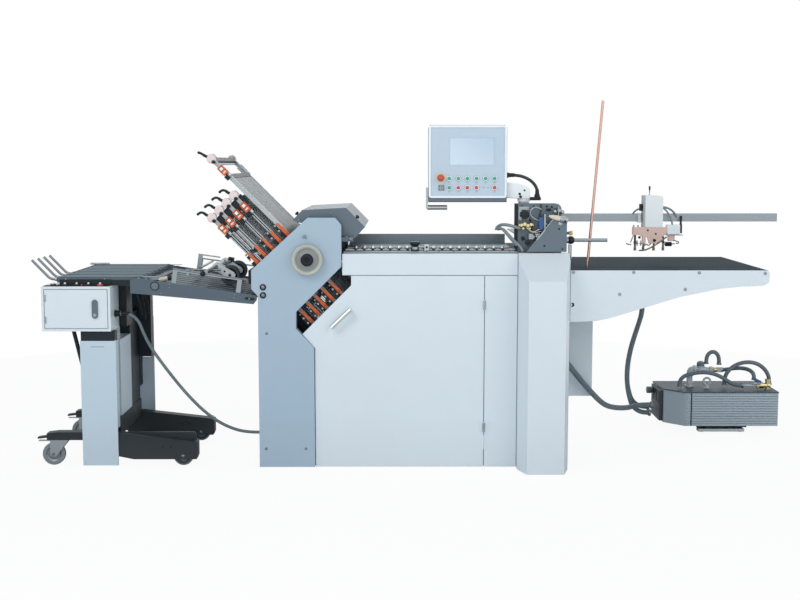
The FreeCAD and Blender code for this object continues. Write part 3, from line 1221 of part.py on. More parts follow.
def make_press(y0, inner):
    p = press
    i = infeed
    inside = i.plate
    legs = [block(p.leg_a, 0, p.leg_foot, p.leg_w, p.leg_t, p.leg_top - p.leg_foot),
            block(p.leg_b, 0, p.leg_foot, p.leg_w, p.leg_t, p.leg_top - p.leg_foot),
            block(p.leg_a, 0, p.leg_top - 6, p.leg_b - p.leg_a + p.leg_w, p.leg_w, 6)]
    far_legs = [block(p.leg_a, inner - p.leg_t, p.leg_foot, p.leg_w, p.leg_t, p.leg_top - p.leg_foot),
                block(p.leg_b, inner - p.leg_t, p.leg_foot, p.leg_w, p.leg_t, p.leg_top - p.leg_foot),
                block(p.leg_a, inner - p.leg_w, p.leg_top - 6, p.leg_b - p.leg_a + p.leg_w, p.leg_w, 6)]
    shaft = rod(p.shaft_at, 0, p.shaft_n + p.shaft_r, p.shaft_r, inner)
    post_bar = block(p.post_at, p.post_y, i.roller_r + 6, p.leg_w, p.leg_t, p.post_h)
    post_arm = block(p.post_at, p.post_y, i.roller_r + p.post_h, p.arm_l, p.leg_t, 6)
    foot_bar = rod(p.post_at + 10, 0, p.leg_top - 11, 6, inner)
    bridge = fuse(legs + far_legs + [foot_bar, post_bar, post_arm])
    bridge_node = group([bridge, shaft])
    node("press_bridge", place(bridge_node, i.pivot_x, y0 + inside, i.pivot_z, (0, 1, 0), i.slope))
    arms = []
    wheels = []
    reach = [(p.shaft_at - 14, p.shaft_n), (p.shaft_at, p.shaft_n - 8), (p.wheel_at - 8, p.wheel_n - 14),
             (p.wheel_at + 12, p.wheel_n - 14), (p.wheel_at + 14, p.wheel_n + 10),
             (p.shaft_at + 14, p.shaft_n + 24),
             (p.shaft_at - 8, p.shaft_n + 24)]
    bores = [(p.shaft_at, p.shaft_n + p.shaft_r, p.shaft_r + machine.gap),
             (p.wheel_at, p.wheel_n, p.axle_r + machine.gap)]
    for y in (p.wheel_a_y, p.wheel_b_y):
        for side in (y - p.arm_t - 4, y + p.wheel_w + 4):
            arms.append(prism("XZ_Plane", reach, side, p.arm_t, bores))
        tread = rod(p.wheel_at, y, p.wheel_n, p.wheel_r, p.wheel_w)
        axle = rod(p.wheel_at, y - p.arm_t - 6, p.wheel_n, p.axle_r, p.wheel_w + 2 * p.arm_t + 12)
        wheels.append(fuse([tread, axle]))
    node("press_arms", place(group(arms), i.pivot_x, y0 + inside, i.pivot_z, (0, 1, 0), i.slope))
    node("press_wheels", place(group(wheels), i.pivot_x, y0 + inside, i.pivot_z, (0, 1, 0), i.slope))


def make_box():
    b = box
    outline = [(b.left, b.foot), (b.right, b.foot), (b.right, b.top), (b.left, b.top)]
    shell = tray("XZ_Plane", outline, at(b.front_y), b.deep, b.wall, False)
    rim_parts = [span(b.left + b.wall, b.right - b.wall, at(b.front_y), at(b.front_y) + 3, b.foot + b.wall,
                      b.foot + b.rim),
                 span(b.left + b.wall, b.right - b.wall, at(b.front_y), at(b.front_y) + 3, b.top - b.rim,
                      b.top - b.wall),
                 span(b.left + b.wall, b.left + b.rim, at(b.front_y), at(b.front_y) + 3, b.foot + b.rim,
                      b.top - b.rim),
                 span(b.right - b.rim, b.right - b.wall, at(b.front_y), at(b.front_y) + 3, b.foot + b.rim,
                      b.top - b.rim)]
    gland = rod(b.right, at(b.gland_y), b.gland_z, b.gland_r, b.gland_l, "X")
    knobs = []
    for k in range(SIZES["box"]["knobs"]):
        knobs.append(rod(b.left + 48 + k * 51, at(b.front_y) + 26, b.top, b.knob_r, b.knob_h, "Z"))
    node("control_box", [fuse([shell] + rim_parts), gland] + knobs)
    edge = b.rim + machine.gap
    panel_sheet = span(b.left + edge, b.right - edge, at(b.front_y), at(b.front_y) + b.door_t,
                       b.foot + edge, b.top - edge)
    latch = rod(b.right - 62, at(b.front_y) - 3, b.foot + 108, 8, 3)
    pin_x = b.left + edge + b.pin_in
    pins = [rod(pin_x, at(b.front_y) - b.pin_out, z, b.pin_r, b.pin_l, "Z")
            for z in (b.foot + edge + 20, b.top - edge - 20 - b.pin_l)]
    node("control_box_door", fuse([panel_sheet, latch] + pins))


# ---------------------------------------------------------------- vacuum pump
def make_pump():
    p = pump
    y0 = at(p.front_y)
    y1 = y0 + p.deep
    outline = [(p.joint, y0 + p.rib_d), (p.right, y0 + p.rib_d), (p.right, y1), (p.left, y1),
               (p.left, y0 + p.chamfer),
               (p.left + 34, y0 + 34)]
    core = prism("XY_Plane", outline, p.foot, p.top - p.foot)
    ribs = []
    count = SIZES["pump"]["ribs"]
    pitch = (p.top - p.foot - 20) / count
    for k in range(count):
        ribs.append(block(p.joint, y0, p.foot + pitch * k, p.right - p.joint, p.rib_d, pitch * 0.72))
    lid = span(p.joint, p.right, y0 - 2, y1, p.top, p.top + 6)
    rails = [span(p.rail_left, p.rail_right, y0 + y, y0 + y + p.rail_w, 0, p.foot) for y in (20, 220)]
    grille = span(p.left - p.grille, p.left, y0 + p.chamfer + 10, y1 - 20, p.foot + 10, p.top - 10)
    node("pump_body", [fuse([core] + ribs), lid, grille] + rails)
    make_fittings(p.top + 6)


def make_fittings(top):
    """Pipes, valve and lifting eye on the pump's lid, and the short hoses between them."""
    p = pump
    y = at(p.pipe_y)
    valve_y = at(p.valve_y)
    loop_y = at(p.loop_y)
    reach = p.pipe_x + 112
    elbow = p.pipe_x + 136
    pipe = [rod(p.pipe_x, y, top, p.pipe_r, p.pipe_z - top, "Z"), ball(p.pipe_x, y, p.pipe_z, p.pipe_r + 2),
            rod(p.pipe_x, y, p.pipe_z, p.pipe_r, 112, "X"),
            rod(p.filter_x, y, p.pipe_z, p.filter_r, 34, "Z"),
            rod(reach, y, p.pipe_z, p.pipe_r - 4, 26, "X"), block(elbow, y - 11, p.pipe_z - 11, 22, 22, 22),
            rod(p.pipe_x + 82, y, p.pipe_z, p.nipple_r, 30, "Z"),
            rod(elbow + 11, y, p.pipe_z, p.nipple_r, 26, "Z")]
    eye_y = y - 40
    eye = [rod(p.eye_x, eye_y, top, 7, 16, "Z"), ring(p.eye_x, eye_y, top + 32, 17, 5)]
    valve = [rod(p.valve_x, valve_y, top, p.valve_r, 22, "Z"),
             rod(p.valve_x - 60, valve_y, top + 22, p.valve_r, 130, "X"),
             rod(p.valve_x + 60, valve_y, top, p.valve_r, 44, "Z"),
             rod(p.valve_x - 8, valve_y, top + 22, p.nipple_r, 28, "Z"),
             block(p.valve_x + 14, valve_y - 6, top + 22, 36, 12, 22)]
    caps = [rod(x, loop_y, top, p.nipple_r, 18, "Z") for x in (1625, 1850)]
    caps.append(rod(1398, at(790), p.top, p.nipple_r, 18, "Z"))
    start = p.left - p.grille - p.spigot_l
    side_y = at(p.front_y) + p.chamfer + 20
    knob = rod(start, side_y + 126, p.top - 30, p.knob_r, p.spigot_l, "X")
    spigots = [rod(start, side_y + 42 * k, z, p.spigot_r, p.spigot_l, "X")
               for k, z in enumerate((116, 68, 90))]
    node("pump_fittings", [fuse(pipe), fuse(eye), fuse(valve), knob] + caps + spigots)
    ends = {
        "pump_loop": ((p.pipe_x + 82, y, p.pipe_z + 30), (elbow + 11, y, p.pipe_z + 26)),
        "pump_long": ((1625, loop_y, top + 18), (1850, loop_y, top + 18)),
        "pump_short": ((elbow + 22, y, p.pipe_z), (p.valve_x - 8, valve_y, top + 50)),
        "pump_low": ((1398, at(790), p.top + 18), (p.valve_x - 60, valve_y, top + 22)),
    }
    node("pump_hoses", [tube(name, corners(name, *ends[name]), p.hose_r) for name in ends])


# ---------------------------------------------------------------- free cords
def make_cords():
    b, c, p = box, cabinet, panel
    end_x = pump.left - pump.grille - pump.spigot_l
    spigot_y = at(pump.front_y) + pump.chamfer + 20
    ends = {
        "box_cable": ((b.right + b.gland_l, at(b.gland_y), b.gland_z),
                      (base.left - c.gland_l, at(c.gland_y), c.gland_z)),
        "panel_cable": ((p.right + p.boot_l, at(p.cable_y), panel_foot() + p.cable_up),
                        (p.lug_x, at(p.post_y), panel_foot() + p.lug_up + p.boot_l)),
        "supply_hose_a": ((1205, at(800), hose.tray_z), (end_x, spigot_y + 42, 68)),
        "supply_hose_b": ((1214, at(834), hose.tray_z), (end_x, spigot_y + 84, 90)),
        "column_hose": ((c.port_x, at(c.port_y), c.port_z - c.port_l), (end_x, spigot_y, 116)),
    }
    radii = {"box_cable": hose.box_r, "panel_cable": hose.panel_r, "column_hose": hose.column_r}
    for name, (start, end) in ends.items():
        node(name, tube(name, corners(name, start, end), radii.get(name, hose.supply_r)))


make_base()
make_cabinet()
make_door()
make_column()
make_covers()
make_fold_frame()
make_handwheel()
make_plates()
make_lower_plates()
make_hood()
make_table()
make_motor()
make_head()
make_bar()
make_suction_head()
make_lift()
make_panel()
make_stand()
make_posts()
make_wheels()
make_deck()
make_infeed()
make_box()
make_pump()
make_cords()
doc.recompute()

# ---------------------------------------------------------------- checks and export
os.makedirs("parts", exist_ok=True)
for item in doc.Objects:
    if "Invalid" in item.State or "Error" in item.State:
        raise RuntimeError("%s (%s) did not build" % (item.Name, item.Label))
if len(NODES) > 60:
    raise RuntimeError("%d sub-parts are more than 60" % len(NODES))
for item in NODES:
    if item.Shape.isNull() or not item.Shape.isValid():
        raise RuntimeError("%s has no valid shape" % item.Label)
for item in NODES:
    item.Shape.exportStep("parts/%s.step" % item.Label)
print("%d sub-parts written" % len(NODES))
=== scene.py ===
# Paper folding machine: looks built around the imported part.
import json
import math

import bmesh
import bpy
from mathutils import Matrix, Vector

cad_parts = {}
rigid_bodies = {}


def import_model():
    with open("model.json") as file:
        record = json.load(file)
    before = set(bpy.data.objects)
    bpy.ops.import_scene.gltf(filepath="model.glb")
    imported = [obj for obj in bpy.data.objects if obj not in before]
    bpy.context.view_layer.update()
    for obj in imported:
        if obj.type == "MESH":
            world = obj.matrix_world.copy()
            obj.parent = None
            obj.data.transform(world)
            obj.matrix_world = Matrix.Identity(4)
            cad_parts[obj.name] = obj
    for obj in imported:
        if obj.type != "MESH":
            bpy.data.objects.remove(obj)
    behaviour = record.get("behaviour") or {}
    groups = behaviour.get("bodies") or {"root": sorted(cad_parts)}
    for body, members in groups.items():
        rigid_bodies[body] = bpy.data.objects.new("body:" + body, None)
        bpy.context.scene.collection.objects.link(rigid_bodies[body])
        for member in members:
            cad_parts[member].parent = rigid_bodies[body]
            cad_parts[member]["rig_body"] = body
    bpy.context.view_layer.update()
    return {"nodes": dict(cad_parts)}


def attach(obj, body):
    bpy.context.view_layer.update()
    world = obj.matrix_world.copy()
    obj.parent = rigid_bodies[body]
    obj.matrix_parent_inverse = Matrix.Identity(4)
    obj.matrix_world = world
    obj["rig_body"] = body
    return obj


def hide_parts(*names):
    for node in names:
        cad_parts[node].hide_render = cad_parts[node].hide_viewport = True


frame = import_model()
nodes = frame["nodes"]
doorPlane = -0.380  # y of the door's front
mm = 0.001


def at(x, y, z):
    # a point in millimetres, y counted from the door plane
    return Vector((x * mm, y * mm + doorPlane, z * mm))


# ---- camera, floor and light
studio = {
    "camera": (0.0, -5.697, 1.327), "tilt": math.pi / 2 - 0.11, "sensor": 36.0, "lens": 55.67,
    "floor": (0.905, 0.915, 0.92), "floorSize": 9.0, "lift": 0.93, "world": (0.86, 0.9, 0.95),
    "worldLevel": 0.5,
}
softBoxes = {
    "key": {"place": (-3.4, -4.6, 4.6), "aim": (-0.2, 0.0, 0.7), "size": 3.2, "power": 120.0},
    "fill": {"place": (4.2, -4.2, 3.2), "aim": (0.3, 0.0, 0.6), "size": 3.0, "power": 62.0},
    "back": {"place": (0.6, 4.6, 4.4), "aim": (0.0, 0.0, 0.7), "size": 3.6, "power": 80.0},
    "front": {"place": (0.0, -6.2, 1.2), "aim": (0.0, 0.0, 0.6), "size": 2.6, "power": 30.0},
}


def makeCamera():
    scene = bpy.context.scene
    scene.view_settings.view_transform = "Standard"
    cameraData = bpy.data.cameras.new("camera")
    cameraData.sensor_width = studio["sensor"]
    cameraData.lens = studio["lens"]
    camera = bpy.data.objects.new("camera", cameraData)
    camera.location = studio["camera"]
    camera.rotation_euler = (studio["tilt"], 0.0, 0.0)
    scene.collection.objects.link(camera)
    scene.camera = camera


def makeLamps():
    for name, box in softBoxes.items():
        lamp = bpy.data.lights.new(name, "AREA")
        lamp.size = box["size"]
        lamp.energy = box["power"]
        holder = bpy.data.objects.new(name, lamp)
        holder.location = box["place"]
        aim = Vector(box["aim"]) - Vector(box["place"])
        holder.rotation_euler = aim.to_track_quat("-Z", "Y").to_euler()
        bpy.context.scene.collection.objects.link(holder)


def makeFloor():
    bm = bmesh.new()
    bmesh.ops.create_grid(bm, x_segments=2, y_segments=2, size=studio["floorSize"])
    mesh = bpy.data.meshes.new("floor")
    bm.to_mesh(mesh)
    bm.free()
    floor = bpy.data.objects.new("floor", mesh)
    bpy.context.scene.collection.objects.link(floor)
    mesh.materials.append(floorFinish())


def makeWorld():
    # soft light all round, and plain white wherever the camera or a glossy face sees past the floor
    world = bpy.data.worlds.new("studio")
    bpy.context.scene.world = world
    world.use_nodes = True
    tree = world.node_tree
    tree.nodes.clear()
    path = tree.nodes.new("ShaderNodeLightPath")
    seen = tree.nodes.new("ShaderNodeMath")
    seen.operation = "MAXIMUM"
    light = tree.nodes.new("ShaderNodeBackground")
    light.inputs[0].default_value = (*studio["world"], 1.0)
    light.inputs[1].default_value = studio["worldLevel"]
    backdrop = tree.nodes.new("ShaderNodeBackground")
    backdrop.inputs[0].default_value = (1.0, 1.0, 1.0, 1.0)
    mix = tree.nodes.new("ShaderNodeMixShader")
    out = tree.nodes.new("ShaderNodeOutputWorld")
    for source, socket in (
        (path.outputs["Is Camera Ray"], seen.inputs[0]), (path.outputs["Is Glossy Ray"], seen.inputs[1]),
        (seen.outputs[0], mix.inputs[0]), (light.outputs[0], mix.inputs[1]),
        (backdrop.outputs[0], mix.inputs[2]),
        (mix.outputs[0], out.inputs[0]),
    ):
        tree.links.new(source, socket)


# ---- shader maths as expressions
class Value:
    def __init__(self, finish, socket):
        self.finish = finish
        self.socket = socket

    def __add__(self, other):
        return self.finish.maths("ADD", self, other)

    def __radd__(self, other):
        return self.finish.maths("ADD", other, self)

    def __sub__(self, other):
        return self.finish.maths("SUBTRACT", self, other)

    def __rsub__(self, other):
        return self.finish.maths("SUBTRACT", other, self)

    def __mul__(self, other):
        return self.finish.maths("MULTIPLY", self, other)

    def __rmul__(self, other):
        return self.finish.maths("MULTIPLY", other, self)


class Finish:
    # one material, its nodes added by a single method
    def __init__(self, name):
        self.material = bpy.data.materials.new(name)
        self.material.use_nodes = True
        self.tree = self.material.node_tree
        self.tree.nodes.clear()
        self.shader = self.tree.nodes.new("ShaderNodeBsdfPrincipled")
        out = self.tree.nodes.new("ShaderNodeOutputMaterial")
        self.tree.links.new(self.shader.outputs[0], out.inputs[0])

    def put(self, socket, value):
        if isinstance(value, Value):
            self.tree.links.new(value.socket, socket)
        elif isinstance(value, (tuple, list)) and len(value) == 3 and len(socket.default_value) == 4:
            socket.default_value = (*value, 1.0)
        else:
            socket.default_value = value

    def node(self, kind, settings, sockets, output=0):
        item = self.tree.nodes.new(kind)
        for key, value in settings.items():
            if key == "stops":
                ramp = item.color_ramp
                while len(ramp.elements) < len(value):
                    ramp.elements.new(0.5)
                for element, (place, level) in zip(ramp.elements, value):
                    element.position = place
                    element.color = (level, level, level, 1.0)
            else:
                setattr(item, key, value)
        for key, value in sockets.items():
            self.put(item.inputs[key], value)
        return Value(self, item.outputs[output])

    def maths(self, operation, first, second):
        return self.node("ShaderNodeMath", {"operation": operation}, {0: first, 1: second})

    def surface(self, **sockets):
        names = {"colour": "Base Color", "rough": "Roughness", "metal": "Metallic", "coat": "Coat Weight",
                 "coatRough": "Coat Roughness", "normal": "Normal", "specular": "Specular IOR Level"}
        for key, value in sockets.items():
            self.put(self.shader.inputs[names[key]], value)
        return self.material

    def place(self):
        return self.node("ShaderNodeTexCoord", {}, {}, "Object")

    def noise(self, where, scale, detail=3.0, rough=0.5):
        sockets = {"Vector": where, "Scale": scale, "Detail": detail, "Roughness": rough}
        return self.node("ShaderNodeTexNoise", {}, sockets, "Fac")

    def stretched(self, where, scale):
        return self.node("ShaderNodeMapping", {}, {"Vector": where, "Scale": scale})

    def ramp(self, value, *stops):
        return self.node("ShaderNodeValToRGB", {"stops": stops}, {"Fac": value})

    def blend(self, amount, first, second):
        item = self.tree.nodes.new("ShaderNodeMix")
        item.data_type = "RGBA"
        for key, value in ((0, amount), (6, first), (7, second)):
            self.put(item.inputs[key], value)
        return Value(self, item.outputs[2])

    def bump(self, height, strength, distance):
        return self.node("ShaderNodeBump", {}, {"Height": height, "Strength": strength, "Distance": distance})

    def split(self, where, axis):
        return self.node("ShaderNodeSeparateXYZ", {}, {"Vector": where}, axis)


def shade(rgb):
    # display colour in 0..255 to the linear value a shader wants
    return tuple((c / 255.0 / 12.92) if c <= 10 else ((c / 255.0 + 0.055) / 1.055) ** 2.4 for c in rgb)


def toned(rgb, factor):
    return tuple(min(1.0, c * factor) for c in shade(rgb))


def floorFinish():
    f = Finish("studioFloor")
    diffuse = f.tree.nodes.new("ShaderNodeBsdfDiffuse")
    diffuse.inputs[0].default_value = (*studio["floor"], 1.0)
    white = f.tree.nodes.new("ShaderNodeEmission")
    mix = f.tree.nodes.new("ShaderNodeMixShader")
    where = f.place()
    far = f.node("ShaderNodeVectorMath", {"operation": "LENGTH"}, {0: where}, "Value")
    edge = f.ramp(far * 0.22, (0.42, 0.0), (0.85, 1.0))
    seen = f.node("ShaderNodeLightPath", {}, {}, "Is Camera Ray") * studio["lift"]
    f.put(mix.inputs[0], f.maths("MAXIMUM", edge, seen))
    f.tree.links.new(diffuse.outputs[0], mix.inputs[1])
    f.tree.links.new(white.outputs[0], mix.inputs[2])
    out = [n for n in f.tree.nodes if n.type == "OUTPUT_MATERIAL"][0]
    f.tree.links.new(mix.outputs[0], out.inputs[0])
    return f.material


# sprayed enamel over sheet steel: fine orange peel, faint clouds, dust settling towards the floor
paints = {
    "coverPaint": {"colour": (163, 186, 203), "rough": 0.42, "peel": 0.10},
    "panelPaint": {"colour": (216, 228, 235), "rough": 0.40, "peel": 0.09},
    "deckPaint": {"colour": (72, 89, 102), "rough": 0.44, "peel": 0.16},
    "trayPaint": {"colour": (112, 121, 127), "rough": 0.5, "peel": 0.1},
    "galvanised": {"colour": (196, 205, 211), "rough": 0.42, "peel": 0.2},
    "framePaint": {"colour": (92, 108, 119), "rough": 0.46, "peel": 0.16},
    "hoodPaint": {"colour": (88, 104, 117), "rough": 0.44, "peel": 0.16},
    "forkPaint": {"colour": (25, 37, 45), "rough": 0.48, "peel": 0.14},
    "motorPaint": {"colour": (92, 110, 120), "rough": 0.5, "peel": 0.2},
    "pumpPaint": {"colour": (172, 187, 197), "rough": 0.52, "peel": 0.28},
    "pumpTopPaint": {"colour": (70, 87, 97), "rough": 0.5, "peel": 0.24},
    "casePaint": {"colour": (186, 205, 221), "rough": 0.42, "peel": 0.08},
    "lidPaint": {"colour": (236, 244, 248), "rough": 0.4, "peel": 0.08},
    "standPaint": {"colour": (190, 209, 221), "rough": 0.42, "peel": 0.1},
}


def paintFinish(name, colour, rough, peel):
    f = Finish(name)
    where = f.place()
    clouds = f.noise(where, 2.6, 4.0, 0.55)
    smudge = f.ramp(f.noise(where, 11.0, 5.0, 0.6), (0.42, 0.0), (0.72, 1.0))
    grain = f.noise(where, 520.0, 2.0)
    height = f.split(where, "Z")
    dust = f.ramp(height + 0.12 * clouds, (0.05, 1.0), (0.30, 0.0))
    tint = f.blend(0.25 + 0.5 * clouds, toned(colour, 0.95), toned(colour, 1.05))
    dusty = f.blend(dust * 0.10, tint, shade((150, 148, 140)))
    scuffed = f.blend(smudge * 0.06, dusty, toned(colour, 0.8))
    gleam = 0.2 if max(colour) < 100 else 0.5  # the dark enamels are duller
    return f.surface(colour=scuffed, rough=rough - 0.05 + 0.10 * clouds + 0.07 * smudge + 0.06 * dust,
                     coat=gleam * (0.24 + 0.2 * clouds), coatRough=0.25, specular=gleam,
                     normal=f.bump(grain, peel, 0.0006))


# bare metals: fine brush lines along one axis, handling haze, small pits
metals = {
    "brushedSteel": {"colour": (158, 165, 168), "rough": 0.30, "grain": (18.0, 420.0, 420.0)},
    "barSteel": {"colour": (142, 152, 158), "rough": 0.38, "grain": (8.0, 300.0, 300.0)},
    "drumSteel": {"colour": (178, 184, 188), "rough": 0.28, "grain": (300.0, 10.0, 300.0)},
    "chrome": {"colour": (205, 211, 214), "rough": 0.16, "grain": (60.0, 60.0, 60.0)},
    "copperPlate": {"colour": (196, 175, 168), "rough": 0.5, "grain": (16.0, 240.0, 240.0)},
    "copperTube": {"colour": (198, 160, 146), "rough": 0.24, "grain": (90.0, 90.0, 14.0)},
    "brassFitting": {"colour": (190, 180, 142), "rough": 0.25, "grain": (120.0, 120.0, 120.0)},
    "castAlloy": {"colour": (150, 158, 162), "rough": 0.42, "grain": (260.0, 260.0, 260.0)},
    "screwSteel": {"colour": (126, 133, 138), "rough": 0.4, "grain": (90.0, 90.0, 90.0)},
    "tubeAlloy": {"colour": (122, 114, 108), "rough": 0.4, "grain": (90.0, 90.0, 14.0)},
    "plateSteel": {"colour": (120, 130, 138), "rough": 0.36, "grain": (60.0, 14.0, 60.0)},
}


def metalFinish(name, colour, rough, grain):
    f = Finish(name)
    where = f.place()
    lines = f.noise(f.stretched(where, grain), 1.0, 4.0, 0.65)
    haze = f.noise(where, 9.0, 4.0, 0.6)
    pits = f.ramp(f.noise(where, 240.0, 2.0), (0.70, 0.0), (0.78, 1.0))
    base = f.blend(lines * 0.6 + haze * 0.4, toned(colour, 0.84), toned(colour, 1.1))
    spotted = f.blend(pits * 0.5, base, toned(colour, 0.55))
    return f.surface(colour=spotted, rough=rough - 0.08 + 0.14 * lines + 0.1 * haze + 0.1 * pits,
                     metal=1.0 - 0.25 * pits, normal=f.bump(lines - 0.4 * pits, 0.12, 0.0004))


# moulded plastics: spark-eroded skin and finger shine
plastics = {
    "darkPlastic": {"colour": (30, 37, 41), "rough": 0.48, "skin": 0.18},
    "hubPlastic": {"colour": (16, 24, 28), "rough": 0.44, "skin": 0.12},
    "orangePlastic": {"colour": (216, 98, 38), "rough": 0.44, "skin": 0.12},
    "whitePlastic": {"colour": (232, 216, 214), "rough": 0.40, "skin": 0.08},
    "wheelPlastic": {"colour": (184, 188, 178), "rough": 0.36, "skin": 0.06},
    "wheelDish": {"colour": (136, 142, 142), "rough": 0.34, "skin": 0.05},
    "redPlastic": {"colour": (198, 80, 84), "rough": 0.32, "skin": 0.05},
    "greenPlastic": {"colour": (70, 164, 138), "rough": 0.32, "skin": 0.05},
    "creamPlastic": {"colour": (226, 213, 198), "rough": 0.4, "skin": 0.06},
    "ochrePlastic": {"colour": (206, 172, 78), "rough": 0.38, "skin": 0.06},
    "yellowPlastic": {"colour": (236, 214, 70), "rough": 0.38, "skin": 0.06},
    "bluePlastic": {"colour": (32, 84, 144), "rough": 0.36, "skin": 0.05},
    "greyPlastic": {"colour": (128, 140, 148), "rough": 0.42, "skin": 0.1},
    "displayLid": {"colour": (234, 240, 238), "rough": 0.25, "skin": 0.03},
}


def plasticFinish(name, colour, rough, skin):
    f = Finish(name)
    where = f.place()
    pebble = f.noise(where, 900.0, 2.0)
    flow = f.noise(where, 16.0, 3.0)
    shine = f.ramp(f.noise(where, 34.0, 3.0), (0.50, 0.0), (0.72, 1.0))
    tone = f.blend(flow, toned(colour, 0.92), toned(colour, 1.06))
    gleam = 0.22 if max(colour) < 60 else 0.5
    return f.surface(colour=tone, rough=rough + 0.08 * flow - 0.12 * shine, coat=gleam * (0.2 + 0.3 * shine),
                     coatRough=0.2, specular=gleam, normal=f.bump(pebble, skin, 0.0005))


# rubbers and coverings
rubbers = {
    "hoseRubber": {"colour": (102, 115, 123), "rough": 0.50, "scale": 300.0, "skin": 0.2},
    "panelRubber": {"colour": (40, 48, 52), "rough": 0.46, "scale": 420.0, "skin": 0.12},
    "cableRubber": {"colour": (104, 120, 124), "rough": 0.46, "scale": 420.0, "skin": 0.12},
    "rollerRubber": {"colour": (44, 48, 50), "rough": 0.6, "scale": 260.0, "skin": 0.25},
    "tyreRubber": {"colour": (70, 79, 85), "rough": 0.62, "scale": 340.0, "skin": 0.3},
    "casterTread": {"colour": (118, 130, 138), "rough": 0.5, "scale": 340.0, "skin": 0.2},
}


def rubberFinish(name, colour, rough, scale, skin):
    f = Finish(name)
    where = f.place()
    skinNoise = f.noise(where, scale, 4.0, 0.65)
    bloom = f.ramp(f.noise(where, 12.0, 4.0), (0.40, 0.0), (0.75, 1.0))
    tone = f.blend(bloom * 0.35, toned(colour, 0.95), toned(tuple(c + 30 for c in colour), 1.0))
    return f.surface(colour=tone, rough=rough + 0.1 * bloom + 0.06 * skinNoise,
                     normal=f.bump(skinNoise, skin, 0.0006), specular=0.4)


def beltFinish(name, colour):
    # rubberised fabric belt: cross weave under a thin skin, rubbed lighter along its middle
    f = Finish(name)
    where = f.place()
    threads = {"Vector": where, "Scale": 190.0, "Distortion": 0.4}
    across = f.node("ShaderNodeTexWave", {"bands_direction": "X"}, threads)
    along = f.node("ShaderNodeTexWave", {"bands_direction": "Y"}, threads)
    rubbed = f.noise(f.stretched(where, (1.6, 26.0, 6.0)), 1.0, 4.0, 0.6)
    weave = across * 0.5 + along * 0.5
    tone = f.blend(rubbed, toned(colour, 0.82), toned(colour, 1.2))
    return f.surface(colour=f.blend(weave * 0.2, tone, toned(colour, 0.6)), rough=0.5 + 0.2 * rubbed,
                     normal=f.bump(weave, 0.25, 0.0005), specular=0.35)


def feltFinish(name, colour):
    # needled cover of the stacking board: short fibres and pressed tracks
    f = Finish(name)
    where = f.place()
    fibres = f.noise(where, 640.0, 6.0, 0.75)
    tracks = f.noise(f.stretched(where, (3.0, 22.0, 3.0)), 1.0, 4.0, 0.6)
    tone = f.blend(fibres * 0.7 + tracks * 0.3, toned(colour, 0.6), toned(colour, 1.35))
    return f.surface(colour=tone, rough=0.82 + 0.12 * fibres, normal=f.bump(fibres, 0.5, 0.0012), specular=0.2)


def screenFinish():
    # unlit touch screen behind a matt film; its colour runs from lighter at the bottom left to darker at the
    # top right, a painted reflection of sky and room
    f = Finish("touchScreen")
    where = f.place()
    # painted reflection: a colour gradient over the screen's height and width
    slope = f.split(where, "Z") * -3.84 + f.split(where, "X") * -2.4
    streak = f.noise(f.stretched(where, (8.0, 8.0, 3.0)), 1.0, 3.0)
    dots = f.noise(where, 1500.0, 1.0)
    level = f.ramp(slope + streak * 0.2 + 6.45, (0.0, 0.0), (1.0, 1.0))
    tone = f.blend(level, shade((172, 195, 216)), shade((200, 221, 237)))
    return f.surface(colour=tone, rough=0.22 + 0.06 * dots, coat=0.5 + 0.1 * dots, coatRough=0.08)


def grilleFinish(name, colour):
    # punched sheet with rows of round holes, the holes painted near-black as painted shade of the unlit inside
    # behind them
    f = Finish(name)
    where = f.place()
    grid = {"Vector": where, "Scale": 120.0, "Randomness": 0.0}
    cells = f.node("ShaderNodeTexVoronoi", {"feature": "F1"}, grid, "Distance")
    # hole mask: painted shade of the dark inside seen through each hole
    holes = f.ramp(cells, (0.30, 1.0), (0.36, 0.0))
    tone = f.blend(holes, toned(colour, 1.0), shade((14, 15, 16)))
    return f.surface(colour=tone, rough=0.5 + 0.3 * holes, normal=f.bump(1.0 - holes, 0.4, 0.001))


finishes = {}


def makeFinishes():
    kinds = ((paintFinish, paints), (metalFinish, metals), (plasticFinish, plastics), (rubberFinish, rubbers))
    for make, group in kinds:
        for name, values in group.items():
            finishes[name] = make(name, **values)
    finishes["beltRubber"] = beltFinish("beltRubber", (106, 127, 136))
    finishes["boardFelt"] = feltFinish("boardFelt", (34, 52, 61))
    finishes["touchScreen"] = screenFinish()
    finishes["grilleSheet"] = grilleFinish("grilleSheet", (58, 66, 72))


wears = {  # which finish each carried-over node has
    "base_frame": "framePaint", "cabinet_panels": "panelPaint", "cabinet_door": "panelPaint",
    "column_cover": "panelPaint", "register_table": "plateSteel", "ball_rails": "brushedSteel",
    "drive_motor": "motorPaint", "side_covers": "coverPaint", "fold_frame": "framePaint",
    "fold_rollers": "rollerRubber", "handwheel": "wheelPlastic", "fold_plates": "plateSteel",
    "plate_counters": "orangePlastic", "lower_fold_plates": "plateSteel", "lower_levers": "orangePlastic",
    "hood": "hoodPaint", "head_plates": "framePaint", "suction_drum": "drumSteel", "valve_block": "castAlloy",
    "feed_bar": "barSteel", "suction_head": "lidPaint", "sucker_block": "copperPlate",
    "lift_table": "boardFelt", "lift_aprons": "panelPaint", "guide_rod": "copperTube",
    "panel_post": "brushedSteel", "panel_housing": "casePaint", "emergency_stop": "redPlastic",
    "panel_buttons": "greenPlastic", "stand_base": "forkPaint", "stand_column_covers": "standPaint",
    "stand_columns": "forkPaint", "delivery_frame": "deckPaint", "delivery_belts": "beltRubber",
    "stop_rods": "screwSteel", "control_box": "panelPaint", "control_box_door": "panelPaint",
    "infeed_frame": "deckPaint", "infeed_belts": "beltRubber", "press_bridge": "barSteel",
    "press_arms": "brushedSteel", "press_wheels": "tyreRubber", "pump_body": "pumpPaint",
    "pump_fittings": "castAlloy",
}


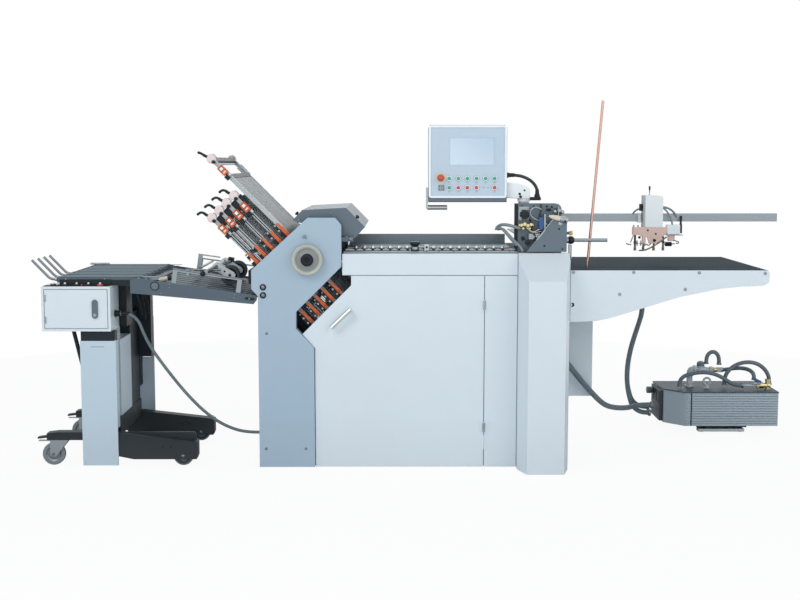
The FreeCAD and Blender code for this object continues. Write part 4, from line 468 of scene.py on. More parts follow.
def dressNodes():
    makeFinishes()
    for name, node in nodes.items():
        if node["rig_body"].startswith("caster_wheel") or node["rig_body"] == "fixed_wheels":
            finish = "casterTread"
        elif name.startswith("caster"):
            finish = "brushedSteel"
        elif name.startswith("lever_"):
            finish = "orangePlastic"
        else:
            finish = wears.get(name, "framePaint")
        node.data.materials.clear()
        node.data.materials.append(finishes[finish])
    print("nodes dressed:", len(nodes), "finishes:", len(finishes))


# ---- pieces: working meshes in the part's millimetres
front, rear, right, up = (0, -1, 0), (0, 1, 0), (1, 0, 0), (0, 0, 1)
slots = {
    "steel": ("brushedSteel", "castAlloy", "chrome", "galvanised", "screwSteel", "trayPaint"),
    "dark_plastic": ("darkPlastic", "hubPlastic", "greyPlastic", "bluePlastic", "grilleSheet"),
    "white_plastic": ("whitePlastic", "creamPlastic", "ochrePlastic", "yellowPlastic", "displayLid",
                      "touchScreen"),
    "panel_paint": ("casePaint", "lidPaint", "hoodPaint", "panelPaint"),
    "frame_paint": ("framePaint", "forkPaint", "deckPaint", "motorPaint"),
    "wheel_plastic": ("wheelPlastic", "wheelDish"), "tyre_rubber": ("tyreRubber", "casterTread"),
    "pump_paint": ("pumpPaint", "pumpTopPaint"), "copper": ("copperPlate", "tubeAlloy"),
    "brass": ("brassFitting",), "orange": ("orangePlastic",), "red_plastic": ("redPlastic",),
    "green_plastic": ("greenPlastic",), "cable_rubber": ("panelRubber",),
}
slotOf = {finish: slot for slot, group in slots.items() for finish in group}


def wireCurve(name, points, radius, turns, rounding):
    # a round wire, tube or cord along control points
    curve = bpy.data.curves.new(name, "CURVE")
    curve.dimensions = "3D"
    curve.resolution_u = turns
    curve.bevel_depth = radius * mm
    curve.bevel_resolution = rounding
    curve.use_fill_caps = True
    spline = curve.splines.new("NURBS")
    spline.points.add(len(points) - 1)
    for point, place in zip(spline.points, points):
        point.co = (*at(*place), 1.0)
    spline.order_u = 3
    spline.use_endpoint_u = True
    return curve


class Piece:
    # one piece of the machine, shaped by its methods and finished at the end of its stage
    waiting = []

    def __init__(self, name, finish, body="machine", slot=None, replaces=None):
        self.name, self.finish, self.body, self.replaces = name, finish, body, replaces
        self.slot = slot or slotOf[finish]
        self.bm = bmesh.new()
        Piece.waiting.append(self)

    def bevel(self, geometry, size, segments=2, affect="EDGES"):
        return bmesh.ops.bevel(self.bm, geom=geometry, offset=size * mm, segments=segments, profile=0.5,
                               affect=affect, material=-1)

    def block(self, low, high, edge=1.0, segments=2):
        # a block between two corners with eased edges
        low, high = at(*low), at(*high)
        made = bmesh.ops.create_cube(self.bm, size=1.0)["verts"]
        bmesh.ops.scale(self.bm, vec=high - low, verts=made)
        bmesh.ops.translate(self.bm, vec=(high + low) / 2, verts=made)
        if edge:
            self.bevel(list({e for v in made for e in v.link_edges}), edge, segments)

    def rod(self, start, end, radius, segments=24, edge=0.6):
        # a round bar from one point to the other, its rims broken
        start, end = at(*start), at(*end)
        run = end - start
        turn = run.to_track_quat("Z", "Y").to_matrix().to_4x4()
        made = bmesh.ops.create_cone(self.bm, cap_ends=True, segments=segments, radius1=radius * mm,
                                     radius2=radius * mm, depth=run.length,
                                     matrix=Matrix.Translation((start + end) / 2) @ turn)["verts"]
        edges = {e for v in made for e in v.link_edges}
        self.bevel([e for e in edges if any(len(f.verts) > 4 for f in e.link_faces)], edge)

    def hexBar(self, start, end, radius):
        self.rod(start, end, radius, segments=6, edge=0.8)

    def plate(self, outline, plane, start, thick, edge=0.6):
        # a flat outline given in two axes, pushed out along the third
        place = {"XZ": lambda a, b: at(a, start, b), "XY": lambda a, b: at(a, b, start),
                 "YZ": lambda a, b: at(start, a, b)}[plane]
        push = Vector({"XZ": rear, "XY": up, "YZ": right}[plane]) * thick * mm
        face = self.bm.faces.new([self.bm.verts.new(place(a, b)) for a, b in outline])
        grown = bmesh.ops.extrude_face_region(self.bm, geom=[face])["geom"]
        verts = [g for g in grown if isinstance(g, bmesh.types.BMVert)]
        bmesh.ops.translate(self.bm, vec=push, verts=verts)
        every = list({f for v in verts for f in v.link_faces} | {face})
        bmesh.ops.recalc_face_normals(self.bm, faces=every)
        if edge:
            self.bevel(list({e for f in every for e in f.edges}), edge)

    def ringPlate(self, x, z, radius, width, y, thick, edge=0.6):
        # a flat frame with rounded corners, its middle left open
        corners = ((x[0], z[0]), (x[1], z[0]), (x[1], z[1]), (x[0], z[1]))
        face = self.bm.faces.new([self.bm.verts.new(at(a, y, b)) for a, b in corners])
        rounded = self.bevel(list(face.verts), radius, 5, "VERTICES")["verts"]
        face = max((f for v in rounded for f in v.link_faces), key=lambda f: f.calc_area())
        rim = bmesh.ops.inset_region(self.bm, faces=[face], thickness=width * mm, use_boundary=True)["faces"]
        bmesh.ops.delete(self.bm, geom=[face], context="FACES_ONLY")
        grown = bmesh.ops.extrude_face_region(self.bm, geom=rim)["geom"]
        verts = [g for g in grown if isinstance(g, bmesh.types.BMVert)]
        bmesh.ops.translate(self.bm, vec=(0.0, thick * mm, 0.0), verts=verts)
        edges = {e for v in verts for e in v.link_edges}
        self.bevel([e for e in edges if e.calc_face_angle(0.0) > 0.8], edge)

    def turned(self, profile, centre, axis, steps=48):
        # a turned shape: radius and distance pairs along an axis
        along = Vector(axis).normalized()
        side = along.orthogonal().normalized()
        origin = at(*centre)
        verts = [self.bm.verts.new(origin + side * r * mm + along * h * mm) for r, h in profile]
        edges = [self.bm.edges.new(pair) for pair in zip(verts, verts[1:])]
        before = set(self.bm.verts) - set(verts)
        bmesh.ops.spin(self.bm, geom=verts + edges, cent=origin, axis=along, angle=math.tau, steps=steps,
                       use_merge=True)
        made = [v for v in self.bm.verts if v not in before]
        bmesh.ops.remove_doubles(self.bm, verts=made, dist=0.00002)

    def bolt(self, centre, axis, radius, height=4.0, sides=24):
        # a button-head screw: domed cap with a sunk drive
        dome = [(0.0, height * 0.35), (radius * 0.42, height * 0.35), (radius * 0.45, height),
                (radius * 0.7, height * 0.92), (radius * 0.94, height * 0.55), (radius, 0.0), (0.0, 0.0)]
        self.turned(dome, centre, axis, sides)

    def bent(self, points, radius, resolution=6):
        # a bent wire or small tube along control points
        curve = wireCurve("wire", points, radius, resolution, 4)
        holder = bpy.data.objects.new("wire", curve)
        bpy.context.scene.collection.objects.link(holder)
        bpy.context.view_layer.update()
        mesh = bpy.data.meshes.new_from_object(holder)
        self.bm.from_mesh(mesh)
        bpy.data.objects.remove(holder)
        bpy.data.curves.remove(curve)
        bpy.data.meshes.remove(mesh)

    def done(self):
        # turns the working mesh into an object that rides its body
        bmesh.ops.recalc_face_normals(self.bm, faces=self.bm.faces)
        mesh = bpy.data.meshes.new(self.name)
        self.bm.to_mesh(mesh)
        self.bm.free()
        for polygon in mesh.polygons:
            polygon.use_smooth = True
        mesh.set_sharp_from_angle(angle=math.radians(35.0))
        piece = bpy.data.objects.new(self.name, mesh)
        piece.modifiers.new("evenShading", "WEIGHTED_NORMAL").keep_sharp = True
        bpy.context.scene.collection.objects.link(piece)
        mesh.materials.append(finishes[self.finish])
        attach(piece, self.body)
        if self.replaces:
            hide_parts(self.replaces)


# ---- free cords, on the routes of the part's own tubes, in millimetres with y from the door plane
cords = {
    "pump_loop": {"radius": 10.0, "length": 0.165, "stiff": "stiff", "route": [
        (1544, 850, 322), (1544, 850, 344), (1550, 850, 368), (1567, 850, 383), (1586, 850, 383),
        (1603, 850, 368),
        (1609, 850, 342), (1609, 850, 318)]},
    "pump_long": {"radius": 10.0, "length": 0.365, "stiff": "stiff", "route": [
        (1625, 800, 224), (1625, 800, 252), (1635, 800, 284), (1660, 800, 312), (1695, 800, 332),
        (1738, 800, 340),
        (1782, 800, 334), (1818, 800, 312), (1842, 800, 280), (1850, 800, 250), (1850, 800, 224)]},
    "pump_short": {"radius": 10.0, "length": 0.208, "stiff": "stiff", "route": [
        (1620, 850, 292), (1640, 850, 292), (1664, 846, 297), (1692, 834, 303), (1719, 815, 306),
        (1742, 791, 303),
        (1757, 770, 292), (1762, 760, 275), (1762, 760, 256)]},
    "pump_low": {"radius": 10.0, "length": 0.366, "stiff": "stiff", "route": [
        (1398, 790, 218), (1398, 790, 240), (1410, 790, 262), (1436, 789, 277), (1472, 787, 286),
        (1512, 784, 290),
        (1552, 780, 287), (1590, 775, 275), (1624, 769, 255), (1652, 764, 237), (1680, 760, 228),
        (1710, 760, 228)]},
    "box_cable": {"radius": 7.0, "length": 0.882, "stiff": "medium", "route": [
        (-1230, 100, 669), (-1190, 100, 669), (-1154, 104, 636), (-1136, 110, 582), (-1106, 118, 514),
        (-1058, 129, 440), (-1004, 144, 361), (-946, 161, 284), (-884, 177, 215), (-816, 189, 160),
        (-745, 197, 126), (-682, 200, 114), (-626, 200, 114)]},
    "panel_cable": {"radius": 7.0, "length": 0.171, "stiff": "medium", "body": "panel", "finish": "panelRubber",
                    "route": [(478, 126, 1276), (502, 126, 1276), (530, 130, 1272), (558, 135, 1262),
                              (582, 141, 1246), (598, 147, 1226), (604, 150, 1208), (604, 150, 1194)]},
    "supply_hose_a": {"radius": 12.0, "length": 0.655, "stiff": "medium", "route": [
        (1205, 800, 640), (1205, 800, 588), (1190, 805, 530), (1172, 810, 468), (1156, 817, 404),
        (1146, 825, 338),
        (1143, 834, 272), (1148, 845, 208), (1160, 857, 158), (1174, 866, 113), (1198, 872, 84),
        (1232, 872, 68),
        (1270, 872, 68)]},
    "supply_hose_b": {"radius": 12.0, "length": 0.632, "stiff": "medium", "route": [
        (1214, 834, 640), (1214, 834, 588), (1198, 840, 530), (1180, 846, 470), (1164, 853, 408),
        (1153, 861, 344),
        (1149, 870, 282), (1152, 881, 226), (1163, 893, 178), (1178, 904, 134), (1201, 914, 106),
        (1234, 914, 90),
        (1270, 914, 90)]},
    "column_hose": {"radius": 13.0, "length": 0.858, "stiff": "medium", "route": [
        (757, 430, 484), (757, 430, 444), (776, 431, 408), (806, 433, 368), (846, 437, 318), (886, 446, 272),
        (924, 466, 230), (962, 506, 192), (1000, 556, 164), (1048, 618, 144), (1094, 684, 129),
        (1137, 747, 119),
        (1171, 797, 116), (1200, 818, 116), (1234, 830, 116), (1270, 830, 116)]},
}
cableRadius = 8.0  # below it a cord is an electric cable, above it a hose


def makeCords():
    pumpHoses = [name for name in cords if name.startswith("pump_")]
    for name, cord in cords.items():
        kind = "cable" if cord["radius"] < cableRadius else "hose"
        curve = wireCurve(name, cord["route"], cord["radius"], 12, 6)
        curve.materials.append(finishes[cord.get("finish", kind + "Rubber")])
        piece = bpy.data.objects.new("cord_" + name, curve)
        bpy.context.scene.collection.objects.link(piece)
        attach(piece, cord.get("body", "machine"))
        kind + "_rubber"
        if name not in pumpHoses:
            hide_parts(name)
        elif name == pumpHoses[0]:
            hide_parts("pump_hoses")
        tuple(at(*cord["route"][0]))
        cord["radius"] * 0.002


# ---- fold plates: the bank of buckle plates, the skilful part of the machine
bank = {
    "tips": [(-815, 1093), (-783, 1125), (-751, 1157), (-719, 1189), (-813, 1347)],
    "lengths": [380, 380, 380, 380, 558], "levers": [276, 276, 276, 276, 454],
    "front": 58.3, "back": 701.7, "slatsFrom": 84, "slatPitch": 42, "slats": 15, "railsFrom": 96,
}
plates = range(len(bank["tips"]))
topPlate = plates[-1]
diagonal = math.sqrt(0.5)  # the plates lean at 45 degrees


def slanted(k, along, off, y=0):
    # a place on plate k: down its length, out from its face, and its y
    x, z = bank["tips"][k]
    return x + (along + off) * diagonal, y, z - (along - off) * diagonal


def slantedShape(piece, k, outline, y, edge):
    # an outline in plate k's directions, from one y to the other
    places = [slanted(k, along, off) for along, off in outline]
    piece.plate([(x, z) for x, _, z in places], "XZ", y[0], y[1] - y[0], edge)


def slantedBlock(piece, k, along, off, y, edge):
    corners = [(along[0], off[0]), (along[1], off[0]), (along[1], off[1]), (along[0], off[1])]
    slantedShape(piece, k, corners, y, edge)


plateEnd = {  # lengths along a plate from the stop's centre, offs out from its face
    "counter": 48, "rims": [((1, 27), (9, 13)), ((1, 27), (-13, -9)), ((1, 5), (-13, 13)),
                            ((23, 27), (-13, 13)),
                            ((38, 43), (-13, 13))],
    "shadowBlocks": {0: 37, 1: 37, 2: 37, 3: 24},  # how far out each dark block reaches: painted shadow behind the dial, in the gap between the plates
    "disc": [(0, 16.6), (14, 16.6), (19, 14.6), (20.8, 11.5), (20.8, 3), (0, 3)], "farDisc": 14.0,
    "knob": [(0, 22), (3.0, 22), (4.2, 21), (7.4, 19.6), (8.0, 18), (8.0, 8), (0, 8)],
    "hook": [(-17, 9), (-26, 12), (-34, 20), (-44, 23), (-53, 21), (-60, 15)], "hookRadius": 5.4,
    "topHook": [(-17, 8), (-26, 11), (-35, 17), (-44, 23), (-54, 26)], "rootRadius": 6.4,
    "tip": [(0, 6.0), (4.2, 4.8), (6.2, 0), (4.2, -4.8), (0, -6.0)],
}


def makePlateEnds():
    # scale heads on both ends: counter, stop disc, hooked grip and clamp screws
    counters = Piece("plateCounters", "orangePlastic", replaces="plate_counters")
    backs = Piece("backCounters", "greyPlastic")
    links = Piece("plateLinks", "castAlloy")
    discs = Piece("plateDiscs", "whitePlastic")
    hooks = Piece("plateHooks", "darkPlastic")
    steel = Piece("plateJaws", "chrome")
    dark = Piece("plateScrews", "darkPlastic")
    lids = Piece("counterLids", "displayLid")
    for k in plates:
        for box, face, out in ((counters, bank["front"], -1), (backs, bank["back"], 1)):
            def cut(piece, along, off, near, far, edge, start=0):
                # a slanted block between two depths out of this end's face
                slantedBlock(piece, k, (start + along[0], start + along[1]), off,
                             sorted((face + out * near, face + out * far)), edge)

            start = plateEnd["counter"]
            cut(box, (0, 44), (-14, 14), -0.2, 19, 2.2, start)
            for along, off in plateEnd["rims"]:
                cut(box, along, off, 18, 21.5, 0.7, start)
            cut(dark, (4.6, 23.4), (-9.4, 9.4), 18.4, 19.3, 0, start)
            cut(lids, (7, 21), (-7, 7), 18.8, 20.4, 0.5, start)
            cut(discs, (29, 36), (-7, 7), 18.8, 19.8, 0.3, start)
            # link plate between stop and counter, jaw and set screw beyond it
            cut(links, (10, start + 3), (-9, 9), 0, 11, 1.0)
            cut(links, (46, 64), (1, 14), 0, 15, 1.4, start)
            cut(dark, (46, 68), (-18, 0), 1, 14, 1.6, start)
            steel.bolt(slanted(k, start + 56, 8, face + out * 15), (0, out, 0), 4.6, 3.0, 16)
            # bevelled disc of the stop
            x, _, z = slanted(k, 0, 0)
            discs.turned(plateEnd["disc"], (x, face, z), (0, out, 0), 40)
            if box is backs:
                dark.rod((x, face - 3, z), (x, face + 2.8, z), plateEnd["farDisc"])
                continue
            cut(links, (-10, 12), (17, 22.5), 4, 13, 1.8)
            # dark block behind the dial: painted shadow in the gap between this plate and the next
            if k in plateEnd["shadowBlocks"]:
                cut(dark, (14, 66), (6, plateEnd["shadowBlocks"][k]), -14, 1, 1.2)
            dark.turned(plateEnd["knob"], slanted(k, 17, -3, face), (0, out, 0), 24)
            # hooked grip, thick at the disc and rounded at the tip
            bend = plateEnd["topHook" if k == topPlate else "hook"]
            arc = [(x + dx, face + out * 9, z + dz) for dx, dz in bend]
            hooks.bent(arc, plateEnd["hookRadius"])
            hooks.bent(arc[:3], plateEnd["rootRadius"])
            hooks.turned(plateEnd["tip"], arc[-1], (0, out, 0), 20)


def makePlateRails():
    # bright side rails with a groove, and the fine slats between them
    rails, grooves = Piece("plateRails", "brushedSteel"), Piece("plateGrooves", "darkPlastic")
    slats = Piece("plateSlats", "brushedSteel")
    for k in plates:
        top = bank["lengths"][k] - 2
        run = (bank["railsFrom"], top)
        for y0, y1 in ((bank["front"] - 2.2, bank["front"] + 6), (bank["back"] - 6, bank["back"] + 2.2)):
            for off in ((-6.5, -2.2), (2.2, 6.5)):
                slantedBlock(rails, k, run, off, (y0, y1), 0.6)
            slantedBlock(grooves, k, run, (-2.4, 2.4), (y0 + 1.6, y1 - 1.2), 0)
        for n in range(bank["slats"] if k != topPlate else 0):
            y = bank["slatsFrom"] + n * bank["slatPitch"]
            for off in ((-9.4, -7.2), (7.2, 9.4)):
                slantedBlock(slats, k, (60, top), off, (y, y + 9), 0.3)


upperTray = {
    "rails": [((-16, 540), (-9, -3), "back", (-11, 1), 0.8), ((-16, 540), (4, 11), "back", (-11, 1), 0.8),
              ((-16, 60), (-9, 11), "back", (-8, -1), 1.2), ((96, 420), (-9.5, 9.5), "front", (-1, 7), 0.8)],
    "rings": [(4, 10), (62, 6.5)], "ringDepth": 12, "arms": [11, 111.6], "armY": (66, 690),
    "sheet": (124, 540), "sheetFrom": 80, "sheetPitch": 44, "sheetWidth": 36, "sheetCount": 14,
}


def makeUpperTray():
    # the long top plate: broad bright rails, a guide ring at the back, dark arms across its open end, and dark
    # strips between its sheet strips as painted shade in the gaps
    steel, dark = Piece("upperProfile", "brushedSteel"), Piece("upperArmsAndGapShade", "darkPlastic")
    sheet = Piece("upperSheet", "trayPaint")
    for along, off, side, depth, edge in upperTray["rails"]:
        slantedBlock(steel, topPlate, along, off, [bank[side] + d for d in depth], edge)
    for along, radius in upperTray["rings"]:
        x, y, z = slanted(topPlate, along, 2, bank["back"] - upperTray["ringDepth"])
        rim = [(radius - 3.4, 0), (radius - 3.4, 3), (radius, 3), (radius + 0.8, 1.6), (radius, 0)]
        steel.turned(rim, (x, y, z), front, 32)
        dark.rod((x, y - 1, z), (x, y + 3, z), radius - 3.6, 20)
    for along in upperTray["arms"]:
        slantedBlock(dark, topPlate, (along - 12, along + 12), (-9, 9), upperTray["armY"], 1.4)
    for n in range(upperTray["sheetCount"]):
        y = upperTray["sheetFrom"] + n * upperTray["sheetPitch"]
        edge = y + upperTray["sheetWidth"]
        slantedBlock(sheet, topPlate, upperTray["sheet"], (-6, 7), (y, edge), 0.4)
        # dark strip in the gap after each sheet strip: painted shade
        slantedBlock(dark, topPlate, upperTray["sheet"], (-5, 6.2), (edge, y + upperTray["sheetPitch"]), 0)


lever = {  # along and off from each lever's pivot
    "grip": [(11, -8), (14, -1), (11, 7), (-2, 9.5), (-28, 6.6), (-56, 4.6), (-62, 1), (-61, -4), (-54, -5.4),
             (-20, -7.4)],
    "y": (49, 58), "camY": (58.8, 66), "cams": [((-16, 8), (-24, -9), 1.6), ((-50, -34), (-20, -8), 1.2)],
    "screws": [(-30, -16), (-58, -13)], "head": (49.2, 5.2, 3.2),
    "lowerStart": (-486, 739), "lowerStep": 32, "lowerPin": 130, "lowerCamY": (46, 64),
    "lowerCam": [(-34, -22), (12, -22), (12, -8), (-34, -8)],
    "lowerStuds": [(-24, -14, 4.4), (4, -15, 4.4), (-46, -13, 3.2)],
}


def makeLevers():
    # clamping levers: tapered orange grips on black cams
    headY, headRadius, headHeight = lever["head"]
    for k in plates:
        name = "lever_%d" % (k + 1)
        grip = Piece("leverGrip_%d" % (k + 1), "orangePlastic", name, replaces=name)
        along = bank["levers"][k]
        slantedShape(grip, k, [(along + a, o) for a, o in lever["grip"]], lever["y"], 1.6)
        grip.bolt(slanted(k, along, 0, headY), front, headRadius, headHeight)
    cams, screws = Piece("leverCams", "darkPlastic"), Piece("leverScrews", "castAlloy")
    for k in plates:
        along = bank["levers"][k]
        for run, off, edge in lever["cams"]:
            slantedBlock(cams, k, (along + run[0], along + run[1]), off, lever["camY"], edge)
        for a, off in lever["screws"]:
            x, _, z = slanted(k, along + a, off)
            screws.rod((x, 46, z), (x, 64, z), 4.0, 20)
            screws.hexBar((x, 42, z), (x, 46, z), 5.0)


def makeLowerLevers():
    # the lower bank shows its own levers in the window of the cover
    grips = Piece("lowerGrips", "orangePlastic", replaces="lower_levers")
    cams, studs = Piece("lowerCams", "darkPlastic"), Piece("lowerStuds", "castAlloy")
    headY, headRadius, headHeight = lever["head"]
    (gripY, gripEnd), (camY, camEnd) = lever["y"], lever["lowerCamY"]
    for k in plates:
        startX, startZ = (c + k * lever["lowerStep"] for c in lever["lowerStart"])
        pinX, pinZ = startX + lever["lowerPin"] * diagonal, startZ - lever["lowerPin"] * diagonal

        def beside(along, off):
            return pinX + (along + off) * diagonal, pinZ - (along - off) * diagonal

        grips.plate([beside(*p) for p in lever["grip"]], "XZ", gripY, gripEnd - gripY, 1.6)
        grips.bolt((pinX, headY, pinZ), front, headRadius, headHeight)
        for along, off, radius in lever["lowerStuds"]:
            x, z = beside(along, off)
            studs.rod((x, 42, z), (x, 64, z), radius, 20)
        cams.plate([beside(*p) for p in lever["lowerCam"]], "XZ", camY, camEnd - camY, 1.2)


# ---- handwheel: grey rim with a bright dish and a dark hub
wheel = {
    "centre": (-398, -16, 916), "shaftEnd": 700, "shaftRadius": 11.8,
    "rim": [(49, 6), (49, 22), (52, 27), (57, 31), (61, 32), (65.5, 28.5), (67, 23), (67, 12), (64, 6), (56, 2),
            (49, 6)],
    "dish": [(26, 24), (30, 22), (44, 18), (49.2, 19), (49.2, 8), (26, 8)],
    "hub": [(0, 31), (6, 31), (7.5, 29.5), (9, 31.5), (22, 32.5), (26.5, 30), (27.5, 26), (27.5, 0), (0, 0)],
}


def makeHandwheel():
    rim = Piece("wheelRim", "wheelPlastic", "handwheel", replaces="handwheel")
    dish, hub = Piece("wheelDish", "wheelDish", "handwheel"), Piece("wheelHub", "hubPlastic", "handwheel")
    x, y, z = wheel["centre"]
    for piece, profile, steps in ((rim, "rim", 72), (dish, "dish", 64), (hub, "hub", 48)):
        piece.turned(wheel[profile], (x, y, z), front, steps)
    hub.rod((x, y - 2, z), (x, wheel["shaftEnd"], z), wheel["shaftRadius"], 32)


# ---- screws on the side covers
coverScrews = {
    "front": -10, "back": 770, "screws": [(-577, 595), (-585, 87), (-411, 87)],
    "rings": [(-591, 796), (-591, 761)],
    "ring": [(0, 1.4), (8, 1.4), (9, 3.2), (12.4, 3.6), (13.8, 2.2), (14.2, 0), (0, 0)],
    "knob": [(0, 14), (5, 14), (7.4, 12), (7.4, 6), (4, 4.5), (4, 0), (0, 0)], "knobAt": (-410, 1015),
}


def makeCoverScrews():
    heads, rings = Piece("coverScrews", "screwSteel"), Piece("coverRings", "darkPlastic")
    face = coverScrews["front"]
    for x, z in coverScrews["screws"]:
        heads.bolt((x, face, z), front, 6.0, 3.0)
        heads.bolt((x, coverScrews["back"], z), rear, 6.0, 3.0)
    for x, z in coverScrews["rings"]:
        rings.turned(coverScrews["ring"], (x, face, z), front, 36)
        heads.bolt((x, face - 1, z), front, 8.0, 3.4)
    x, z = coverScrews["knobAt"]
    heads.turned(coverScrews["knob"], (x, face, z), front, 28)


# ---- operator panel on its swivel arm
panel = {
    "x": (126, 464), "z": (1157, 1490), "front": 96, "screenX": (217, 408), "screenZ": (1320, 1437),
    "row": 214, "pitch": 39.6, "rows": (1262, 1222), "columns": 6, "green": (0,), "red": (1, 2, 3, 5),
    "stop": (177, 1264), "key": (180, 1221), "slots": 12, "slotFrom": 200, "slotPitch": 16,
    "slotZ": (1390, 1450),
    "cap": [(0, 9.4), (3.5, 9.2), (6.6, 8.2), (8.4, 6.4), (9.0, 4), (9.0, 0), (0, 0)],
    "collar": [(8.6, 0), (8.6, 4.6), (10.2, 4.6), (11.6, 3.0), (11.8, 0)],
    "stopRing": [(0, 3.2), (17.8, 3.2), (19, 2.2), (19, 0), (0, 0)],
    "stopCap": [(0, 27.5), (7, 26.6), (11.8, 23.6), (14.6, 19), (15.4, 13.5), (14, 10.6), (9.5, 9.4),
                (8.6, 3), (0, 3)],
}


def makePanelCase():
    case = Piece("panelCase", "casePaint", "panel", replaces="panel_housing")
    rim, lip = Piece("panelFrame", "lidPaint", "panel"), Piece("panelLip", "hoodPaint", "panel")
    strip, bezel = Piece("panelStrips", "greyPlastic", "panel"), Piece("screenBezel", "casePaint", "panel")
    glass = Piece("screenGlass", "touchScreen", "panel")
    (x0, x1), (z0, z1), y = panel["x"], panel["z"], panel["front"]
    case.block((x0 + 2, y + 1, z0 + 8), (x1 - 2, y + 60, z1 - 1), 7.0, 4)
    rim.ringPlate((x0 - 1, x1 + 1), (z0 + 20, z1 + 1), 12, 9, y - 3.4, 8, 1.2)
    # the deep rounded lip under the frame, in a darker paint than the case: painted shade of its
    # downward-facing edge; and the thin painted shadow strip round the top and sides
    lip.plate([(y - 1, z0 + 20), (y - 5, z0 + 14), (y - 6, z0 + 6), (y - 3, z0 + 2.5), (y + 10, z0 + 1.2),
               (y + 61, z0 + 1.2), (y + 61, z0 + 21)], "YZ", x0 - 1.5, x1 - x0 + 3, 1.4)
    strip.block((x0 + 4, y + 3, z1 - 3), (x1 - 6, y + 60, z1 + 2.8), 2.0)
    for side in (x0 - 2.6, x1 - 2.4):
        strip.block((side, y + 3, z0 + 22), (side + 5, y + 60, z1 - 6), 2.0)
    # back cover with cooling slots and its screws
    for n in range(panel["slots"]):
        x = panel["slotFrom"] + n * panel["slotPitch"]
        strip.block((x, y + 59, panel["slotZ"][0]), (x + 7, y + 61.4, panel["slotZ"][1]), 0.5)
    for x in (x0 + 14, x1 - 14):
        for z in (z0 + 34, z1 - 14):
            bezel.bolt((x, y + 60, z), rear, 4.6, 3.0, 18)
    (x0, x1), (z0, z1) = panel["screenX"], panel["screenZ"]
    bezel.ringPlate((x0 - 3, x1 + 3), (z0 - 3, z1 + 3), 2.5, 4.0, y - 0.4, 3.0, 0.5)
    glass.block((x0 + 0.6, y + 0.3, z0 + 0.6), (x1 - 0.6, y + 2.0, z1 - 0.6), 0.3)


def makePanelControls():
    green = Piece("greenButtons", "greenPlastic", "panel_buttons", replaces="panel_buttons")
    red, collars = Piece("redButtons", "redPlastic", "panel_buttons"), Piece("buttonCollars", "chrome", "panel")
    marks = Piece("buttonMarks", "greyPlastic", "panel")
    stop = Piece("stopButton", "redPlastic", "emergency_stop", replaces="emergency_stop")
    ring, keyPad = Piece("stopRing", "yellowPlastic", "panel"), Piece("panelKeySwitch", "greyPlastic", "panel")
    y = panel["front"]

    def mark(x, z, width, height):
        marks.block((x, y - 0.7, z), (x + width, y + 0.2, z + height), 0.2)

    for row, z in enumerate(panel["rows"]):
        for k in range(panel["columns"]):
            x = panel["row"] + k * panel["pitch"]
            if row == 0 or k in panel["green"]:
                green.turned(panel["cap"], (x, y, z), front, 32)
            elif k in panel["red"]:
                red.turned(panel["cap"], (x, y, z), front, 32)
            else:  # a gap in the row has two short dashes
                mark(x - 11, z - 1.2, 6, 2.4)
                mark(x + 9, z - 1.2, 6, 2.4)
                continue
            collars.turned(panel["collar"], (x, y, z), front, 32)
            mark(x - 4, z - 19.4, 8, 2)
    x, z = panel["stop"]
    ring.turned(panel["stopRing"], (x, y, z), front, 48)
    stop.turned(panel["stopCap"], (x, y, z), front, 48)
    x, z = panel["key"]
    keyPad.ringPlate((x - 13, x + 13), (z - 12, z + 12), 3, 6, y - 1.6, 2.2, 0.5)
    keyPad.block((x - 3, y - 2.2, z - 3), (x + 3, y + 0.2, z + 3), 0.8)


panelArm = {
    "outline": [(462, 1176), (545, 1172), (569, 1172), (571, 1205), (565, 1220), (552, 1229), (520, 1239),
                (462, 1246)],
    "y": 119, "depth": 70, "hinge": [(0, 13), (24, 13), (28, 10), (28, 0), (0, 0)],
    "hingeAt": (545, 150, 1160.4),
    "bolts": [(524, 1194, 5.4), (545, 1210, 4.0), (528, 1182, 6.0)],
    "stop": ((566, 140, 1165), (620, 160, 1180)),
    "gripFoot": ((114, 108, 1130), (123, 136, 1222)), "grip": ((119, 118, 1135), (207, 118, 1135), 10.4),
    "glands": [([(7.2, 40), (8.6, 34), (9.4, 14), (12, 10), (12.6, 0), (0, 0)], (463, 126, 1276), right),
               ([(7.2, 36), (8.4, 30), (9.6, 14), (12.4, 12), (12.8, 0), (0, 0)], (604, 150, 1178), up)],
}


def makePanelArm():
    arm, grip = Piece("panelArm", "lidPaint", "panel"), Piece("panelGrip", "brushedSteel", "panel")
    bolts, glands = Piece("armBolts", "darkPlastic", "panel"), Piece("panelGlands", "darkPlastic", "panel")
    arm.plate(panelArm["outline"], "XZ", panelArm["y"], panelArm["depth"], 4.0)
    arm.turned(panelArm["hinge"], panelArm["hingeAt"], up, 40)
    bolts.block(*panelArm["stop"], 2.0)
    for x, z, r in panelArm["bolts"]:
        head = [(0, 1.6), (r * 0.5, 1.6), (r * 0.6, 3.4), (r, 2.4), (r, 0), (0, 0)]
        bolts.turned(head, (x, panelArm["y"], z), front, 20)
    grip.block(*panelArm["gripFoot"], 2.0, 3)
    grip.rod(*panelArm["grip"], 32, 3.0)
    for profile, place, axis in panelArm["glands"]:
        glands.turned(profile, place, axis, 32)


